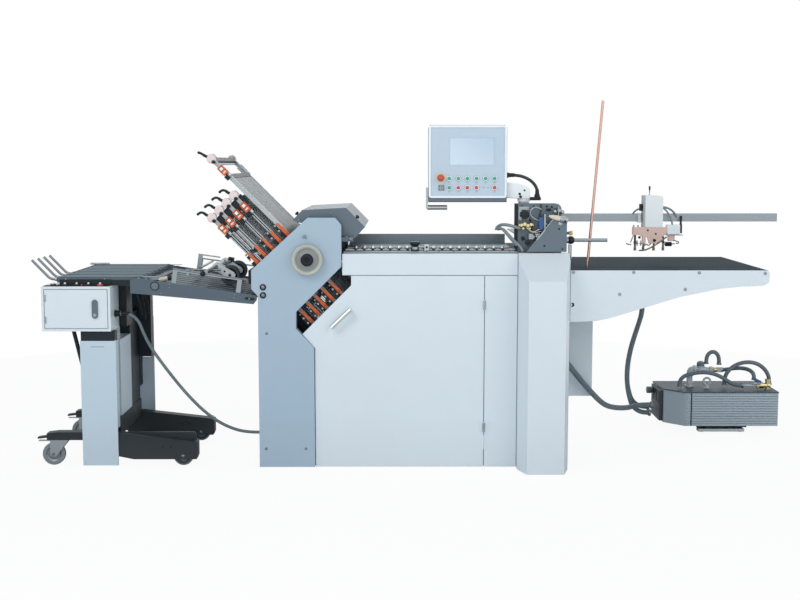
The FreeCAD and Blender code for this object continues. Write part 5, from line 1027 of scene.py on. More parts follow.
# ---- feeder head: shaped plates, then valves, tubes and connectors on them
headPlates = {  # outline, y and thickness, edge
    "plates": [([(545, 947), (719, 947), (719, 1100), (667, 1100)], 10, 12, 1.0),
               ([(512, 830), (703, 830), (703, 1124), (699, 1140), (689, 1151), (672, 1155), (512, 1155)], 62,
                12, 1.2),
               ([(560, 830), (703, 830), (703, 1118), (692, 1128), (560, 1128)], 690, 12, 1.2)],
    "pressing": ((668, 74, 1046), (702, 690, 1110)), "shelf": ((520, 74, 1007), (606, 690, 1013)),
    "edge": ((498, 66, 960), (513, 90, 1154)), "spacers": [(687, 987), (697, 1076)],
    "bearing": [(10.6, 0), (10.6, 5), (20, 5), (24, 3), (24, 0), (10.6, 0)], "bearingAt": (612, 902),
}


def makeHeadPlates():
    metal = Piece("headPlatework", "framePaint", replaces="head_plates")
    shadow = Piece("headEdge", "forkPaint")
    for outline, y, thick, edge in headPlates["plates"]:
        metal.plate(outline, "XZ", y, thick, edge)
    shadow.block(*headPlates["edge"], 1.4)
    metal.block(*headPlates["pressing"], 2.0)
    metal.block(*headPlates["shelf"], 1.0)
    for x, z in headPlates["spacers"]:
        metal.rod((x, 20, z), (x, 64, z), 12.0)
    x, z = headPlates["bearingAt"]
    for y, out in ((60, -1), (704, 1)):
        metal.turned(headPlates["bearing"], (x, y, z), (0, out, 0), 36)


feedHead = {
    "plate": [(514, 1081), (528, 1081), (528, 1126), (560, 1126), (560, 1141), (514, 1141)], "plateY": 54,
    "cornersX": (519, 555), "cornersZ": (1086, 1136), "ribFrom": 522, "manifold": ((516, 574), 36, 1062),
    "motor": [(0, 40), (4, 40), (4.4, 36), (14, 35), (16.6, 32), (17.6, 26), (17.6, 6), (15, 4), (15, 0),
              (0, 0)],
    "motorAt": (539, 54, 1107), "motorRibs": 5, "ribPitch": 8.5,
    # brass elbows and nuts: x, z and radius
    "elbows": [(524, 1062, 8), (538, 1066, 9), (552, 1060, 8), (566, 1064, 8), (532, 1048, 6), (560, 1048, 6)],
    "ringLoop": {"centre": (588, 1114), "radius": 27, "turns": (0.6, 1.4, 2.2, 3.0, 3.8, 4.6),
                 "tail": [(612, 34, 1076), (632, 32, 1070), (650, 32, 1052)]},
    "steelTube": [(552, 18, 1050), (562, 14, 1030), (590, 20, 1030), (612, 26, 1036)],
    "brassTube": [(545, 16, 1052), (562, 12, 1036), (580, 14, 1032), (600, 22, 1044)],
    "darkTubes": [([(560, 40, 1086), (572, 26, 1066), (566, 20, 1046), (580, 20, 1022), (590, 30, 1000)], 4.0),
                  ([(598, 40, 1030), (604, 24, 1012), (596, 22, 990), (606, 30, 970)], 5.0)],
    "cable": [(610, 50, 1150), (609, 42, 1132), (606, 34, 1112), (606, 40, 1096)],
    "hoses": [([(425, 120, 1045), (436, 90, 1062), (466, 60, 1062), (500, 42, 1053), (520, 40, 1048)], 7.2),
              ([(430, 112, 1040), (446, 80, 1048), (470, 60, 1020), (498, 46, 990), (524, 36, 968),
                (532, 30, 948)], 6.4),
              ([(420, 116, 1040), (436, 90, 1052), (458, 70, 1030), (484, 56, 996), (508, 46, 972)], 5.2)],
    "connector": ((600, 22, 1042), (619, 60, 1096)), "connectorHalf": ((621, 24, 1038), (630, 60, 1110)),
    "connectorRibs": (1048, 1060, 1072, 1084), "gearStuds": (562, 571, 580, 589, 598),
    "gearBoxes": [((556, 26, 1000), (606, 58, 1026)), ((602, 30, 984), (640, 58, 1010))],
    "gearKnobs": [(553, 30, 986, 11), (586, 34, 1000, 9), (532, 34, 1004, 8)],
    "nozzle": [(0, -50), (4, -48), (7.5, -38), (10.5, -18), (11, 0), (0, 0)], "nozzleAt": (687, 2, 1091),
    "nozzleBase": [(0, 0), (12.5, 0), (13.5, 2), (13.5, 26), (12, 34), (0, 34)], "nozzleAxis": (1, 0, -0.24),
    "regulators": [(672, 1120, 8), (690, 1124, 9), (704, 1118, 8)], "buttons": (640, 650, 672),
    "plateScrews": [(659, 1139), (637, 1141), (612, 1136), (581, 1141), (529, 1141), (678, 1128)],
    "frontScrews": [(685, 1046), (623, 973), (700, 960), (700, 1085)],
    # pale strips on the front plate's slanted edge: painted highlight
    "edgeHighlights": [([(585, 997), (588, 997), (669, 1099), (666, 1100)], 7.4, 3, 0.4),
                   ([(590, 1000), (594, 998), (629, 1041), (620, 1041)], 6.6, 4, 0.8)],
    "knobAt": (719, 40, 1027), "knob": [(0, 12), (7, 12), (9, 15), (10.4, 22), (8.6, 28), (0, 29)],
    "ball": [(0, -18), (7, -16.6), (13.6, -11.6), (17.6, -3), (17.6, 3), (13.6, 11.6), (7, 16.6), (0, 18)],
    "ballAt": (741, 52, 996), "ballArm": [(729, 918), (743, 916), (744, 976), (727, 980)],
}


def addValves(pale, silver, motor, brass, blue):
    # motor on its plate, brass elbows and hex nuts in a row, and the connector between two pale halves
    pale.plate(feedHead["plate"], "XZ", feedHead["plateY"], 8, 1.2)
    for x in feedHead["cornersX"]:
        for z in feedHead["cornersZ"]:
            silver.bolt((x, feedHead["plateY"], z), front, 3.2, 2.6, 16)
    motor.turned(feedHead["motor"], feedHead["motorAt"], front, 40)
    for n in range(feedHead["motorRibs"]):
        x = feedHead["ribFrom"] + n * feedHead["ribPitch"]
        motor.rod((x, 46, 1096), (x, 46, 1118), 2.4, 12)
    for x, z, radius in feedHead["elbows"]:
        brass.hexBar((x, 22, z), (x, 34, z), radius)
        brass.rod((x, 14, z), (x, 60, z), radius * 0.66, 20)
    (x0, x1), y, z = feedHead["manifold"]
    brass.rod((x0, y, z), (x1, y, z), 5.0, 20)
    for x in (x0 + 2, x1 - 2):
        brass.hexBar((x - 5, y, z), (x + 5, y, z), 8.2)
    blue.block(*feedHead["connector"], 1.6)
    pale.block(*feedHead["connectorHalf"], 1.6)
    for z in feedHead["connectorRibs"]:
        blue.block((602, 20.6, z), (617, 22.4, z + 6), 0.6)


def addTubes(silver, brass, dark, cable, hose):
    # a ring loop running down to the front plate, thin tubes to the fittings, hoses from the table side
    loop = feedHead["ringLoop"]
    (x, z), radius = loop["centre"], loop["radius"]
    ring = [(x + radius * math.cos(a), 30 + a * 1.2, z + radius * math.sin(a)) for a in loop["turns"]]
    silver.bent(ring + loop["tail"], 2.6)
    silver.bent(feedHead["steelTube"], 2.4)
    brass.bent(feedHead["brassTube"], 2.6)
    cable.bent(feedHead["cable"], 4.2)
    for piece, group in ((dark, "darkTubes"), (hose, "hoses")):
        for points, radius in feedHead[group]:
            piece.bent(points, radius)


def addGearMotor(pale, silver, dark):
    for x, y, z, r in feedHead["gearKnobs"]:
        knob = [(0, 6), (r * 0.5, 6), (r * 0.5, 12), (r, 11), (r + 1, 6), (r + 1, 0), (0, 0)]
        dark.turned(knob, (x, y, z), front, 28)
    for box in feedHead["gearBoxes"]:
        pale.block(*box, 2.0)
    for x in feedHead["gearStuds"]:
        silver.rod((x, 20, 1013), (x, 28, 1013), 3.2, 14)


def addNozzle(cream, silver, dark):
    # nozzle cone, hose clamp and little regulators over the feed bar
    cream.turned(feedHead["nozzle"], feedHead["nozzleAt"], feedHead["nozzleAxis"], 32)
    silver.turned(feedHead["nozzleBase"], feedHead["nozzleAt"], feedHead["nozzleAxis"], 32)
    dark.rod((708, -12, 1080), (708, -8, 1080), 5.0)
    for x, z, r in feedHead["regulators"]:
        silver.turned([(0, 16), (r * 0.6, 16), (r, 13), (r, 0), (0, 0)], (x, 60, z), front, 24)
    silver.rod((686, 44, 1090), (686, 44, 1142), 2.4, 14)
    for x in feedHead["buttons"]:
        dark.turned([(0, 8), (4, 8), (6, 5), (6, 0), (0, 0)], (x, 60, 1127), front, 20)
    silver.turned([(0, 4), (6, 4), (9.6, 2), (10, 0), (0, 0)], (691, 10, 1069), front, 32)


def makeFeederHead():
    pale, motor = Piece("headBlocks", "castAlloy"), Piece("valveMotor", "darkPlastic")
    brass = Piece("valveBrass", "brassFitting", replaces="valve_block")
    blue, cream = Piece("valveConnector", "bluePlastic"), Piece("nozzleCone", "creamPlastic")
    dark, silver = Piece("headKnobs", "darkPlastic"), Piece("headFittings", "brushedSteel")
    hose, cable = Piece("headHoses", "greyPlastic", slot="hose_rubber"), Piece("headCable", "panelRubber")
    yellow, ball = Piece("adjustKnob", "ochrePlastic"), Piece("guideBall", "darkPlastic")
    addValves(pale, silver, motor, brass, blue)
    addTubes(silver, brass, dark, cable, hose)
    addGearMotor(pale, silver, dark)
    addNozzle(cream, silver, dark)
    for x, z in feedHead["frontScrews"]:
        dark.turned([(0, 1.4), (3.4, 1.4), (4.2, 0), (0, 0)], (x, 10, z), front, 20)
    for x, z in feedHead["plateScrews"]:
        dark.turned([(0, 2.0), (4.0, 2.0), (5.0, 0), (0, 0)], (x, 62, z), front, 20)
    # pale strips along the slanted edge of the front plate: painted highlight of the light that edge catches
    for piece, (outline, y, thick, edge) in zip((silver, pale), feedHead["edgeHighlights"]):
        piece.plate(outline, "XZ", y, thick, edge)
    # adjusting knob and guide ball on the feed side
    blue.turned([(0, 0), (6, 0), (6, 14), (0, 14)], feedHead["knobAt"], right, 24)
    yellow.turned(feedHead["knob"], feedHead["knobAt"], right, 28)
    ball.turned(feedHead["ball"], feedHead["ballAt"], rear, 40)
    pale.plate(feedHead["ballArm"], "XZ", 26, 8, 1.4)


# ---- suction head riding on the feed bar
suction = {
    "cover": [(1121, 1036), (1203, 1036), (1203, 1171), (1196, 1178), (1176, 1182), (1121, 1183)],
    "side": ((1112, 349, 1036), (1122, 399, 1182)),
    "straps": [((1127, 398, 1097.3), (1191, 447, 1107.3)), ((1127, 398, 1049.7), (1191, 447, 1059.7)),
               ((1127, 437.3, 1049.7), (1191, 447, 1107.3))],
    "knob": [(0, 30), (3.2, 29), (4.2, 26), (4.2, 17), (3.4, 15), (4.0, 13), (2.2, 11), (2.0, 0), (0, 0)],
    "knobFoot": [(0, 12), (2.0, 12), (2.0, 3), (6, 2.4), (6.4, 0), (0, 0)], "knobAt": (1144, 374),
    "face": 353.7,  # y of the copper plate's front
    "plate": [(1068, 1000), (1068, 1037), (1225, 1037), (1225, 1010), (1212, 1000), (1200, 972), (1172, 962),
              (1140, 962), (1132, 990), (1104, 994), (1100, 1000)],
    # copper blocks behind the plate: x, y from the face, z, edge
    "blocks": [((1070, 1222), (0, 40), (1000, 1035), 1.6), ((1232, 1262), (8, 30), (972, 1000), 1.4),
               ((1110, 1126), (-8, 10), (962, 1000), 1.4)],
    "studs": [(1135, 1022, 4.6), (1172, 1006, 4.6), (1204, 990, 4.2), (1097, 990, 6.5), (1166, 976, 7.6)],
    "nozzles": (1082, 1120, 1168, 1211), "nozzleY": 374,
    "cup": [(4.0, 20), (5.5, 17), (5.5, 14), (6.4, 12), (5.6, 9), (6.4, 6), (7, 0), (5.6, 0.4), (4.0, 6)],
    "tubes": [([(1222, 352, 992), (1200, 348, 975), (1170, 346, 955), (1140, 346, 938), (1118, 348, 930),
                (1096, 348, 930)], 3.6),
              ([(1060, 346, 956), (1048, 346, 958), (1036, 346, 962)], 2.6),
              ([(1258, 360, 976), (1270, 356, 972), (1280, 356, 968), (1276, 356, 960), (1266, 358, 964)], 2.4),
              ([(1070, 352, 1000), (1062, 350, 980), (1056, 348, 966)], 2.2),
              ([(1150, 350, 962), (1140, 346, 950), (1128, 346, 962), (1116, 348, 948)], 2.8)],
    "hoses": [([(1202, 380, 1128), (1226, 378, 1126), (1252, 386, 1112), (1272, 398, 1092),
                (1282, 410, 1066)], 4.8),
              ([(1202, 376, 1128), (1220, 372, 1116), (1236, 366, 1090), (1246, 366, 1068),
                (1252, 372, 1046)], 4.2),
              ([(1112, 378, 1120), (1098, 384, 1120), (1084, 394, 1110), (1074, 404, 1096),
                (1070, 412, 1070)], 4.2)],
    "washer": [(0, 0), (9, 0), (10.5, 1), (10.5, 4), (9, 5), (0, 5)], "washers": 5, "washerPitch": 6,
    "spring": {"radius": 6, "turn": 1.9, "z": 972, "rise": 1.7, "points": 16}, "clampPins": (1072, 1092),
    "posts": (1088, 1104, 1120),
}


def addCopper(copper, dark):
    # distributor plate with a ragged lower half, the blocks behind it and its studs
    face = suction["face"]
    copper.plate(suction["plate"], "XZ", face - 4, 5, 1.0)
    for (x0, x1), (near, far), (z0, z1), edge in suction["blocks"]:
        copper.block((x0, face + near, z0), (x1, face + far, z1), edge)
    for x, z, r in suction["studs"]:
        dark.turned([(0, 1.6), (r * 0.7, 1.6), (r, 0.4), (r, 0), (0, 0)], (x, face - 4, z), front, 20)


def addSuckers(tubes, steel):
    # sucker tubes with rubber cups, each in its spring
    y, spring = suction["nozzleY"], suction["spring"]
    for x in suction["nozzles"]:
        tubes.rod((x, y, 1000), (x, y, 946), 4.6, 20)
        steel.hexBar((x, y, 962), (x, y, 970), 8.0)
        tubes.turned(suction["cup"], (x, y, 928), up, 28)
        coil = [(x + spring["radius"] * math.cos(n * spring["turn"]),
                 y + spring["radius"] * math.sin(n * spring["turn"]),
                 spring["z"] + n * spring["rise"]) for n in range(spring["points"])]
        steel.bent(coil, 1.0)


def addValveBoxes(box, dark, steel):
    # white valve box and its connector on the feed side, clamp on the other
    face = suction["face"]
    box.block((1224, face - 2, 1003), (1284, face + 36, 1047), 2.4, 3)
    box.block((1098, 394, 1056), (1112, 440, 1100), 2.0)
    dark.block((1286, face + 4, 1008), (1294, face + 30, 1050), 1.6)
    dark.block((1100, 366, 1110), (1113, 392, 1142), 2.0)
    steel.block((1222, face - 3, 998), (1296, face + 30, 1002), 0.8)
    dark.bent([(1290, face + 20, 1050), (1292, 380, 1070), (1296, 392, 1084)], 5.0)
    for x in suction["clampPins"]:
        steel.rod((x, face + 8, 1036), (x, face + 8, 1046), 4.0, 16)


def makeSuctionHead():
    cover = Piece("suctionCover", "lidPaint", "suction_head", replaces="suction_head")
    side = Piece("suctionSide", "castAlloy", "suction_head", slot="panel_paint")
    straps = Piece("suctionStraps", "castAlloy", "suction_head")
    copper = Piece("copperPlate", "copperPlate", "suction_head", replaces="sucker_block")
    tubes = Piece("blowTubes", "tubeAlloy", "suction_head")
    dark = Piece("suckerRubbers", "darkPlastic", "suction_head")
    steel = Piece("suckerFittings", "brushedSteel", "suction_head")
    box = Piece("valveBoxes", "lidPaint", "suction_head")
    hose = Piece("suctionHoses", "greyPlastic", "suction_head", slot="hose_rubber")
    cover.plate(suction["cover"], "XZ", 348, 52, 2.0)
    side.block(*suction["side"], 1.6)
    for strap in suction["straps"]:
        straps.block(*strap, 1.0)
    x, y = suction["knobAt"]
    dark.turned(suction["knob"], (x, y, 1194), up, 20)
    steel.turned(suction["knobFoot"], (x, y, 1183), up, 20)
    addCopper(copper, dark)
    addSuckers(tubes, steel)
    addValveBoxes(box, dark, steel)
    for piece, group in ((tubes, "tubes"), (hose, "hoses")):
        for points, radius in suction[group]:
            piece.bent(points, radius)
    # bar with rubber washers under the plate, and small posts
    steel.rod((1204, 360, 958), (1262, 360, 960), 3.0, 16)
    for n in range(suction["washers"]):
        dark.turned(suction["washer"], (1218 + n * suction["washerPitch"], 360, 958.6), right, 24)
    for x in suction["posts"]:
        steel.rod((x, 352, 976), (x, 352, 950), 2.6, 14)
        steel.hexBar((x, 352, 966), (x, 352, 958), 6.0)
    dark.rod((1076, 352, 1000), (1076, 352, 952), 3.4, 16)


# ---- register table: ball cages, rulers and the inverted knob
register = {
    "first": -195, "step": 38, "count": 18, "y": 122, "top": 947, "x": (-239, 505),
    "cage": [(9.6, 0), (9.6, 7), (11, 8.4), (14.5, 8), (16, 5), (16.4, 0)],
    "ball": [(0, 10.4), (4.5, 9.2), (7.6, 6), (8.8, 1), (7.6, -4), (0, -4)],
    "rulers": [((107, 110), (946.4, 953)), ((134, 137), (946.4, 953))],
    "shadows": [((138, 150), (937, 941)), ((84, 104), (937, 940.4))],
    "strips": 10, "stripFrom": -232, "stripPitch": 76, "stripY": (172, 640), "stripZ": (936.6, 939),
    "knob": [(0, 46), (16, 46), (21, 44), (22, 36), (14, 24), (7, 14), (6, 4), (0, 4)],
    "knobFoot": [(0, 8), (6, 8), (9, 5), (17, 2), (18, -1), (0, -1)], "screws": (-226, 170, 232, 476),
}


def makeRegisterTable():
    dark, balls = Piece("ballCages", "darkPlastic"), Piece("registerBalls", "chrome")
    steel, white = Piece("registerRulers", "brushedSteel"), Piece("knobFoot", "displayLid")
    y, top, (x0, x1) = register["y"], register["top"], register["x"]
    for n in range(register["count"]):
        x = register["first"] + n * register["step"]
        dark.turned(register["cage"], (x, y, top), up, 28)
        balls.turned(register["ball"], (x, y, top + 9.3), up, 24)
        if n < register["count"] - 1:
            dark.block((x + 17, y - 9, top), (x + 21, y + 9, top + 4), 0.8)
    for piece, bars in ((steel, register["rulers"]), (dark, register["shadows"])):
        for (y0, y1), (z0, z1) in bars:
            piece.block((x0, y0, z0), (x1, y1, z1), 0.6)
    (y0, y1), (z0, z1) = register["stripY"], register["stripZ"]
    for n in range(register["strips"]):
        x = register["stripFrom"] + n * register["stripPitch"]
        steel.block((x, y0, z0), (x + 36, y1, z1), 0.6)
    # black funnel knob on its white foot, clamp bracket beside it
    dark.turned(register["knob"], (65, 70, 943), up, 40)
    white.turned(register["knobFoot"], (65, 54, 939), up, 32)
    steel.block((106, 60, 937), (126, 96, 974), 1.6)
    dark.bolt((116, 60, 964), front, 5.0, 3.4, 20)
    dark.bolt((116, 60, 948), front, 3.6, 2.6, 18)
    for x in register["screws"]:
        dark.bolt((x, 48, 946.6), up, 5.4, 2.6, 20)


# ---- sloping infeed of the delivery: pressing bridge, swing arms and soft wheels
infeed = {
    "pivot": (-1061, 796), "slope": math.radians(8.2), "front": 20, "boss": (-1063, 798),
    "screws": [(-1133, 832), (-1037, 766), (-999, 805), (-999, 791), (-717, 760), (-719, 746)],
    "bossFace": [(0, 2.4), (15.5, 2.4), (18.5, 1.0), (18.5, 0), (0, 0)], "bossScrews": (0.6, 2.7, 4.8),
    "bossRing": [(15.6, 2.5), (16.6, 2.9), (18.9, 1.2), (19.6, 0), (15.6, 0)],
    "slot": [(-676, 745), (-670, 739), (-638, 735), (-629, 740), (-636, 747), (-668, 751)],
    "clampBall": [(0, -12), (6, -10.6), (10.6, -6), (12, 0), (10.6, 6), (6, 10.6), (0, 12)],
    "rack": [(166, 52), (176, 48), (268, 112), (260, 124)], "racks": (380, 500), "rollers": 8,
    "rollerFrom": (170, 58), "rollerStep": (12.6, 8.6),
    "rackTop": [(246, 116), (272, 116), (272, 134), (246, 134)],
    "gap": [(22, 12), (392, 12), (392, 19), (22, 19)], "gaps": 9, "gapFrom": 74, "gapPitch": 74.5,
    "gapWidth": 24,
    "mouth": ((-664, 74, 802), (-646, 686, 862)),
}


def sloped(a, n):
    # a place on the infeed: along its slope and square out of it
    c, s = math.cos(infeed["slope"]), math.sin(infeed["slope"])
    return infeed["pivot"][0] + a * c + n * s, infeed["pivot"][1] - a * s + n * c


def slopedPlate(piece, outline, y, edge=0.8):
    piece.plate([sloped(a, n) for a, n in outline], "XZ", y[0], y[1] - y[0], edge)


def slopedRod(piece, first, last, y, radius):
    (x0, z0), (x1, z1) = sloped(*first), sloped(*last)
    piece.rod((x0, y, z0), (x1, y, z1), radius, 20)


def slopedDisc(piece, place, y, out, profile, steps=28):
    x, z = sloped(*place)
    piece.turned(profile, (x, y, z), (0, out, 0), steps)


def makeInfeed():
    chrome, gaps = Piece("infeedScrews", "screwSteel", "infeed"), Piece("infeedGapShade", "forkPaint", "infeed")
    dark, cream = Piece("infeedDark", "darkPlastic", "infeed"), Piece("infeedHandle", "creamPlastic", "infeed")
    racks, hub = Piece("rackBars", "castAlloy", "infeed"), Piece("rackRollers", "motorPaint", "infeed")
    face = infeed["front"]
    for x, z in infeed["screws"]:
        chrome.bolt((x, face, z), front, 4.2, 2.6, 18)
    # round pivot boss with its three screws, and the dark slot at the machine's end
    x, z = infeed["boss"]
    hub.turned(infeed["bossFace"], (x, face, z), front, 40)
    dark.turned(infeed["bossRing"], (x, face, z), front, 40)
    for turn in infeed["bossScrews"]:
        chrome.bolt((x + 9 * math.cos(turn), face - 2.4, z + 9 * math.sin(turn)), front, 4.2, 2.4, 16)
    dark.plate(infeed["slot"], "XZ", face - 0.8, 1.6, 0.4)
    chrome.bolt((-654, face - 0.8, 743), front, 4.6, 2.6, 18)
    # thin upper rods on the bridge, clamp ball, and the pale handle under it
    slopedRod(chrome, (66, 88), (384, 86), 24, 3.4)
    slopedRod(chrome, (99, 77), (255, 97), 160, 4.0)
    slopedDisc(dark, (196, 84), 22, -1, infeed["clampBall"])
    slopedRod(cream, (2, 21), (38, 36), 100, 10.5)
    slopedRod(dark, (36, 35), (50, 41), 100, 11.4)
    # two racks of small rollers leaning against the swing arms
    (a0, n0), (da, dn) = infeed["rollerFrom"], infeed["rollerStep"]
    for y in infeed["racks"]:
        slopedPlate(racks, infeed["rack"], (y - 3, y + 3))
        for n in range(infeed["rollers"]):
            x, z = sloped(a0 + n * da, n0 + n * dn)
            hub.rod((x, y - 16, z), (x, y + 16, z), 6.4, 18)
            chrome.rod((x, y - 18, z), (x, y + 18, z), 3.0, 14)
    slopedPlate(dark, infeed["rackTop"], (424, 452))
    # dark strips in the gaps between the belts, painted shade on the bed under them, and a dark block in the
    # machine's mouth above them, painted shade of the opening
    for n in range(infeed["gaps"]):
        y = infeed["gapFrom"] + n * infeed["gapPitch"]
        slopedPlate(gaps, infeed["gap"], (y, y + infeed["gapWidth"]))
    dark.block(*infeed["mouth"], 2.0)


press = {
    "wheels": (316, 586), "shaft": (208, 93), "centre": (278, 64),
    "holes": [((252, 78), 4.6), ((278, 64), 7.0)],
    "arm": [(192, 90), (196, 104), (206, 112), (222, 110), (296, 80), (304, 70), (302, 58), (292, 50),
            (272, 50),
            (206, 76)], "armThick": 6,
    "tyre": [(31, 1), (41, 0), (44, 1.6), (45, 4), (45, 22), (44, 24.4), (41, 26), (31, 25), (31, 1)],
    "hub": [(0, 3), (12, 3), (14, 5), (27, 5), (31.4, 2), (31.4, 24), (27, 21), (14, 21), (12, 23), (0, 23)],
}


def makePressWheels():
    arms = Piece("swingArms", "lidPaint", "press_arms", replaces="press_arms")
    holes, pins = Piece("swingHoles", "darkPlastic", "press_arms"), Piece("swingPins", "chrome", "press_arms")
    tyres = Piece("softTyres", "tyreRubber", "press_wheels", replaces="press_wheels")
    hubs = Piece("softHubs", "forkPaint", "press_wheels")
    x, z = sloped(*press["centre"])
    thick = press["armThick"]
    for y in press["wheels"]:
        for side, out in ((y - 10, -1), (y + 30, 1)):
            slopedPlate(arms, press["arm"], (side, side + thick), 1.2)
            outer = side if out < 0 else side + thick
            for place, r in press["holes"]:
                slopedDisc(holes, place, outer, out, [(0, 1.2), (r * 0.7, 1.2), (r, 0.3), (r, 0), (0, 0)], 24)
            slopedDisc(pins, press["shaft"], outer, out, [(0, 3), (9, 3), (11, 1.4), (11, 0), (0, 0)])
        tyres.turned(press["tyre"], (x, y, z), rear, 56)
        hubs.turned(press["hub"], (x, y, z), rear, 48)
        hubs.rod((x, y - 11, z), (x, y + 37, z), 6.0)


# ---- control box of the delivery: gasket, latch, knobs and cable gland
controls = {
    "gasketX": (-1547, -1269), "gasketZ": (611, 785), "latch": (-1325, 669, 726), "latchRadius": 13,
    "latchY": 14.2,
    "key": [(0, 2.2), (3, 2.2), (7.6, 1.6), (8.4, 0), (0, 0)], "hinges": (650, 746), "hingeAt": (-1541.4, 18),
    "strips": [((-1550, 27, 795.4), (-1266, 66, 798.4), 0.6), ((-1486, 57, 797), (-1262, 63.4, 823), 0.8),
               ((-1262, 61, 797), (-1052, 63.4, 821), 0.4)],
    "knobs": [-1510, -1459, -1408, -1357, -1306], "redRing": 4, "redButton": 2,
    "knob": [(0, 7), (9, 7), (11.4, 5), (12, 0), (0, 0)],
    "ring": [(9.2, 7.2), (11, 7.2), (12.6, 5), (13.4, 0), (9.2, 0)], "glandAt": (-1258, 100, 669),
    "gland": [(0, 0), (15, 0), (15, 9), (12.6, 10), (12.6, 26), (11, 30), (9.4, 34), (8.0, 56), (7.2, 64)],
    "glandRib": [(7.0, 0), (9.2, 0.6), (9.2, 2.6), (7.0, 3.2)], "ribs": 4, "ribFrom": 42, "ribPitch": 5,
    "carrier": [(-1291, 600), (-1226, 600), (-1226, 796), (-1291, 796)], "carrierY": (190, 120),
}


def makeControlBox():
    gasket = Piece("doorGasket", "greyPlastic", "delivery")
    latch = Piece("doorLatch", "hoodPaint", "control_box_door", slot="dark_plastic")
    key = Piece("doorKey", "castAlloy", "control_box_door")
    hinges = Piece("doorHinges", "brushedSteel", "delivery")
    dark, red = Piece("knobStripAndShade", "darkPlastic", "delivery"), Piece("knobRings", "redPlastic", "delivery")
    white, gland = Piece("knobBlades", "displayLid", "delivery"), Piece("boxGland", "darkPlastic", "delivery")
    gasket.ringPlate(controls["gasketX"], controls["gasketZ"], 3, 2.6, 19.2, 1.0, 0.2)
    # latch plate with half-round ends
    x, low, high = controls["latch"]
    radius, y = controls["latchRadius"], controls["latchY"]
    ends = [(x + radius * math.cos(a), z + radius * math.sin(a)) for z, first in ((low, 1), (high, 0))
            for a in [math.pi * (first + n / 8) for n in range(9)]]
    latch.plate(ends, "XZ", y, 6, 0.8)
    key.turned(controls["key"], (x, y + 0.2, low + 2), front, 28)
    x, y = controls["hingeAt"]
    for z in controls["hinges"]:
        hinges.rod((x, y, z - 15), (x, y, z + 15), 3.2, 18)
    # black strip on the roof with five selector knobs, and dark strips over the side plates behind them:
    # painted shade
    for strip in controls["strips"]:
        dark.block(*strip)
    for n, x in enumerate(controls["knobs"]):
        dark.turned(controls["knob"], (x, 46, 798), up, 32)
        white.block((x - 3, 40, 804), (x + 4, 52, 812), 1.6)
        ring = red if n == controls["redRing"] else dark
        ring.turned(controls["ring"], (x, 46, 797.6), up, 32)
        button = red if n == controls["redButton"] else dark
        button.block((x + 18, 42, 798), (x + 25, 50, 803), 1.2)
    # gland with a tapered sleeve over the start of the cable
    x, y, z = controls["glandAt"]
    gland.turned(controls["gland"], (x, y, z), right, 32)
    for n in range(controls["ribs"]):
        ribX = x + controls["ribFrom"] + n * controls["ribPitch"]
        gland.turned(controls["glandRib"], (ribX, y, z), right, 28)
    # dark carrier that ties the box to the column behind it
    dark.plate(controls["carrier"], "XZ", *controls["carrierY"], 1.2)


# ---- delivery deck, stand and casters
deck = {
    "x": (-1486, -1064), "gaps": 9, "gapFrom": 96, "gapPitch": 76.2, "gapZ": (834, 836.5),
    "corner": [(-1512, 728), (-1428, 728), (-1420, 720), (-1420, 694), (-1500, 694), (-1512, 704)],
    "edge": ((-1500, 66, 830), (-1056, 70, 836.8), 0.8),
    "shadows": [((-1092, 72, 799), (-1040, 732, 803), 0.8), ((-1112, 74, 760), (-1022, 730, 774), 1.2),
                ((-1134, 74, 807), (-1088, 730, 811), 0.6)],
    "collars": (96, 192, 288, 384), "collar": [(6, 0), (9, 0), (9, 8), (6, 8)], "bolts": (-1460, -1290, -1110),
}


def makeDeck():
    steel, dark = Piece("deckEdges", "castAlloy", "delivery"), Piece("deckGaps", "deckPaint", "delivery")
    (x0, x1), (z0, z1) = deck["x"], deck["gapZ"]
    for n in range(deck["gaps"]):
        y = deck["gapFrom"] + n * deck["gapPitch"]
        dark.block((x0, y - 1.4, z0), (x1, y + 1.4, z1), 0.4)
    steel.plate(deck["corner"], "XY", 836, 8, 1.6)
    steel.block(*deck["edge"])
    for shadow in deck["shadows"]:
        dark.block(*shadow)
    for y in deck["collars"]:
        steel.turned(deck["collar"], (-1506, y, 821), (-1, 0, 0), 24)
    for x in deck["bolts"]:
        steel.bolt((x, 64, 824), front, 3.6, 2.2, 16)
        steel.bolt((x, 740, 824), rear, 3.6, 2.2, 16)


stand = {
    "beams": (32, 527), "holes": (-1046, -1010), "hole": [(0, 0.4), (4.6, 0.4), (5.4, 0), (0, 0)],
    "wheelAt": (-957, 44), "wheelRim": [(26, 1.6), (33, 1.6), (35, 0.6), (35, 0), (26, 0)],
    # dark wall in the gap between the beams: painted shade
    "beamGapShade": [(-1236, 144), (-912, 144), (-903, 134), (-903, 100), (-1236, 100)],
    "seams": [((-1350, 24.2, 530), (-1290, 25.4, 533), 0.4), ((-1246, 27, 555), (-1241, 40, 562), 1.0)],
    "leads": [(0, 0), (16, -22), (30, 6), (8, 28)],
    "lead": [(-1210, 330, 770), (-1196, 320, 720), (-1184, 322, 672), (-1190, 330, 636)], "leadRadius": 7.0,
}


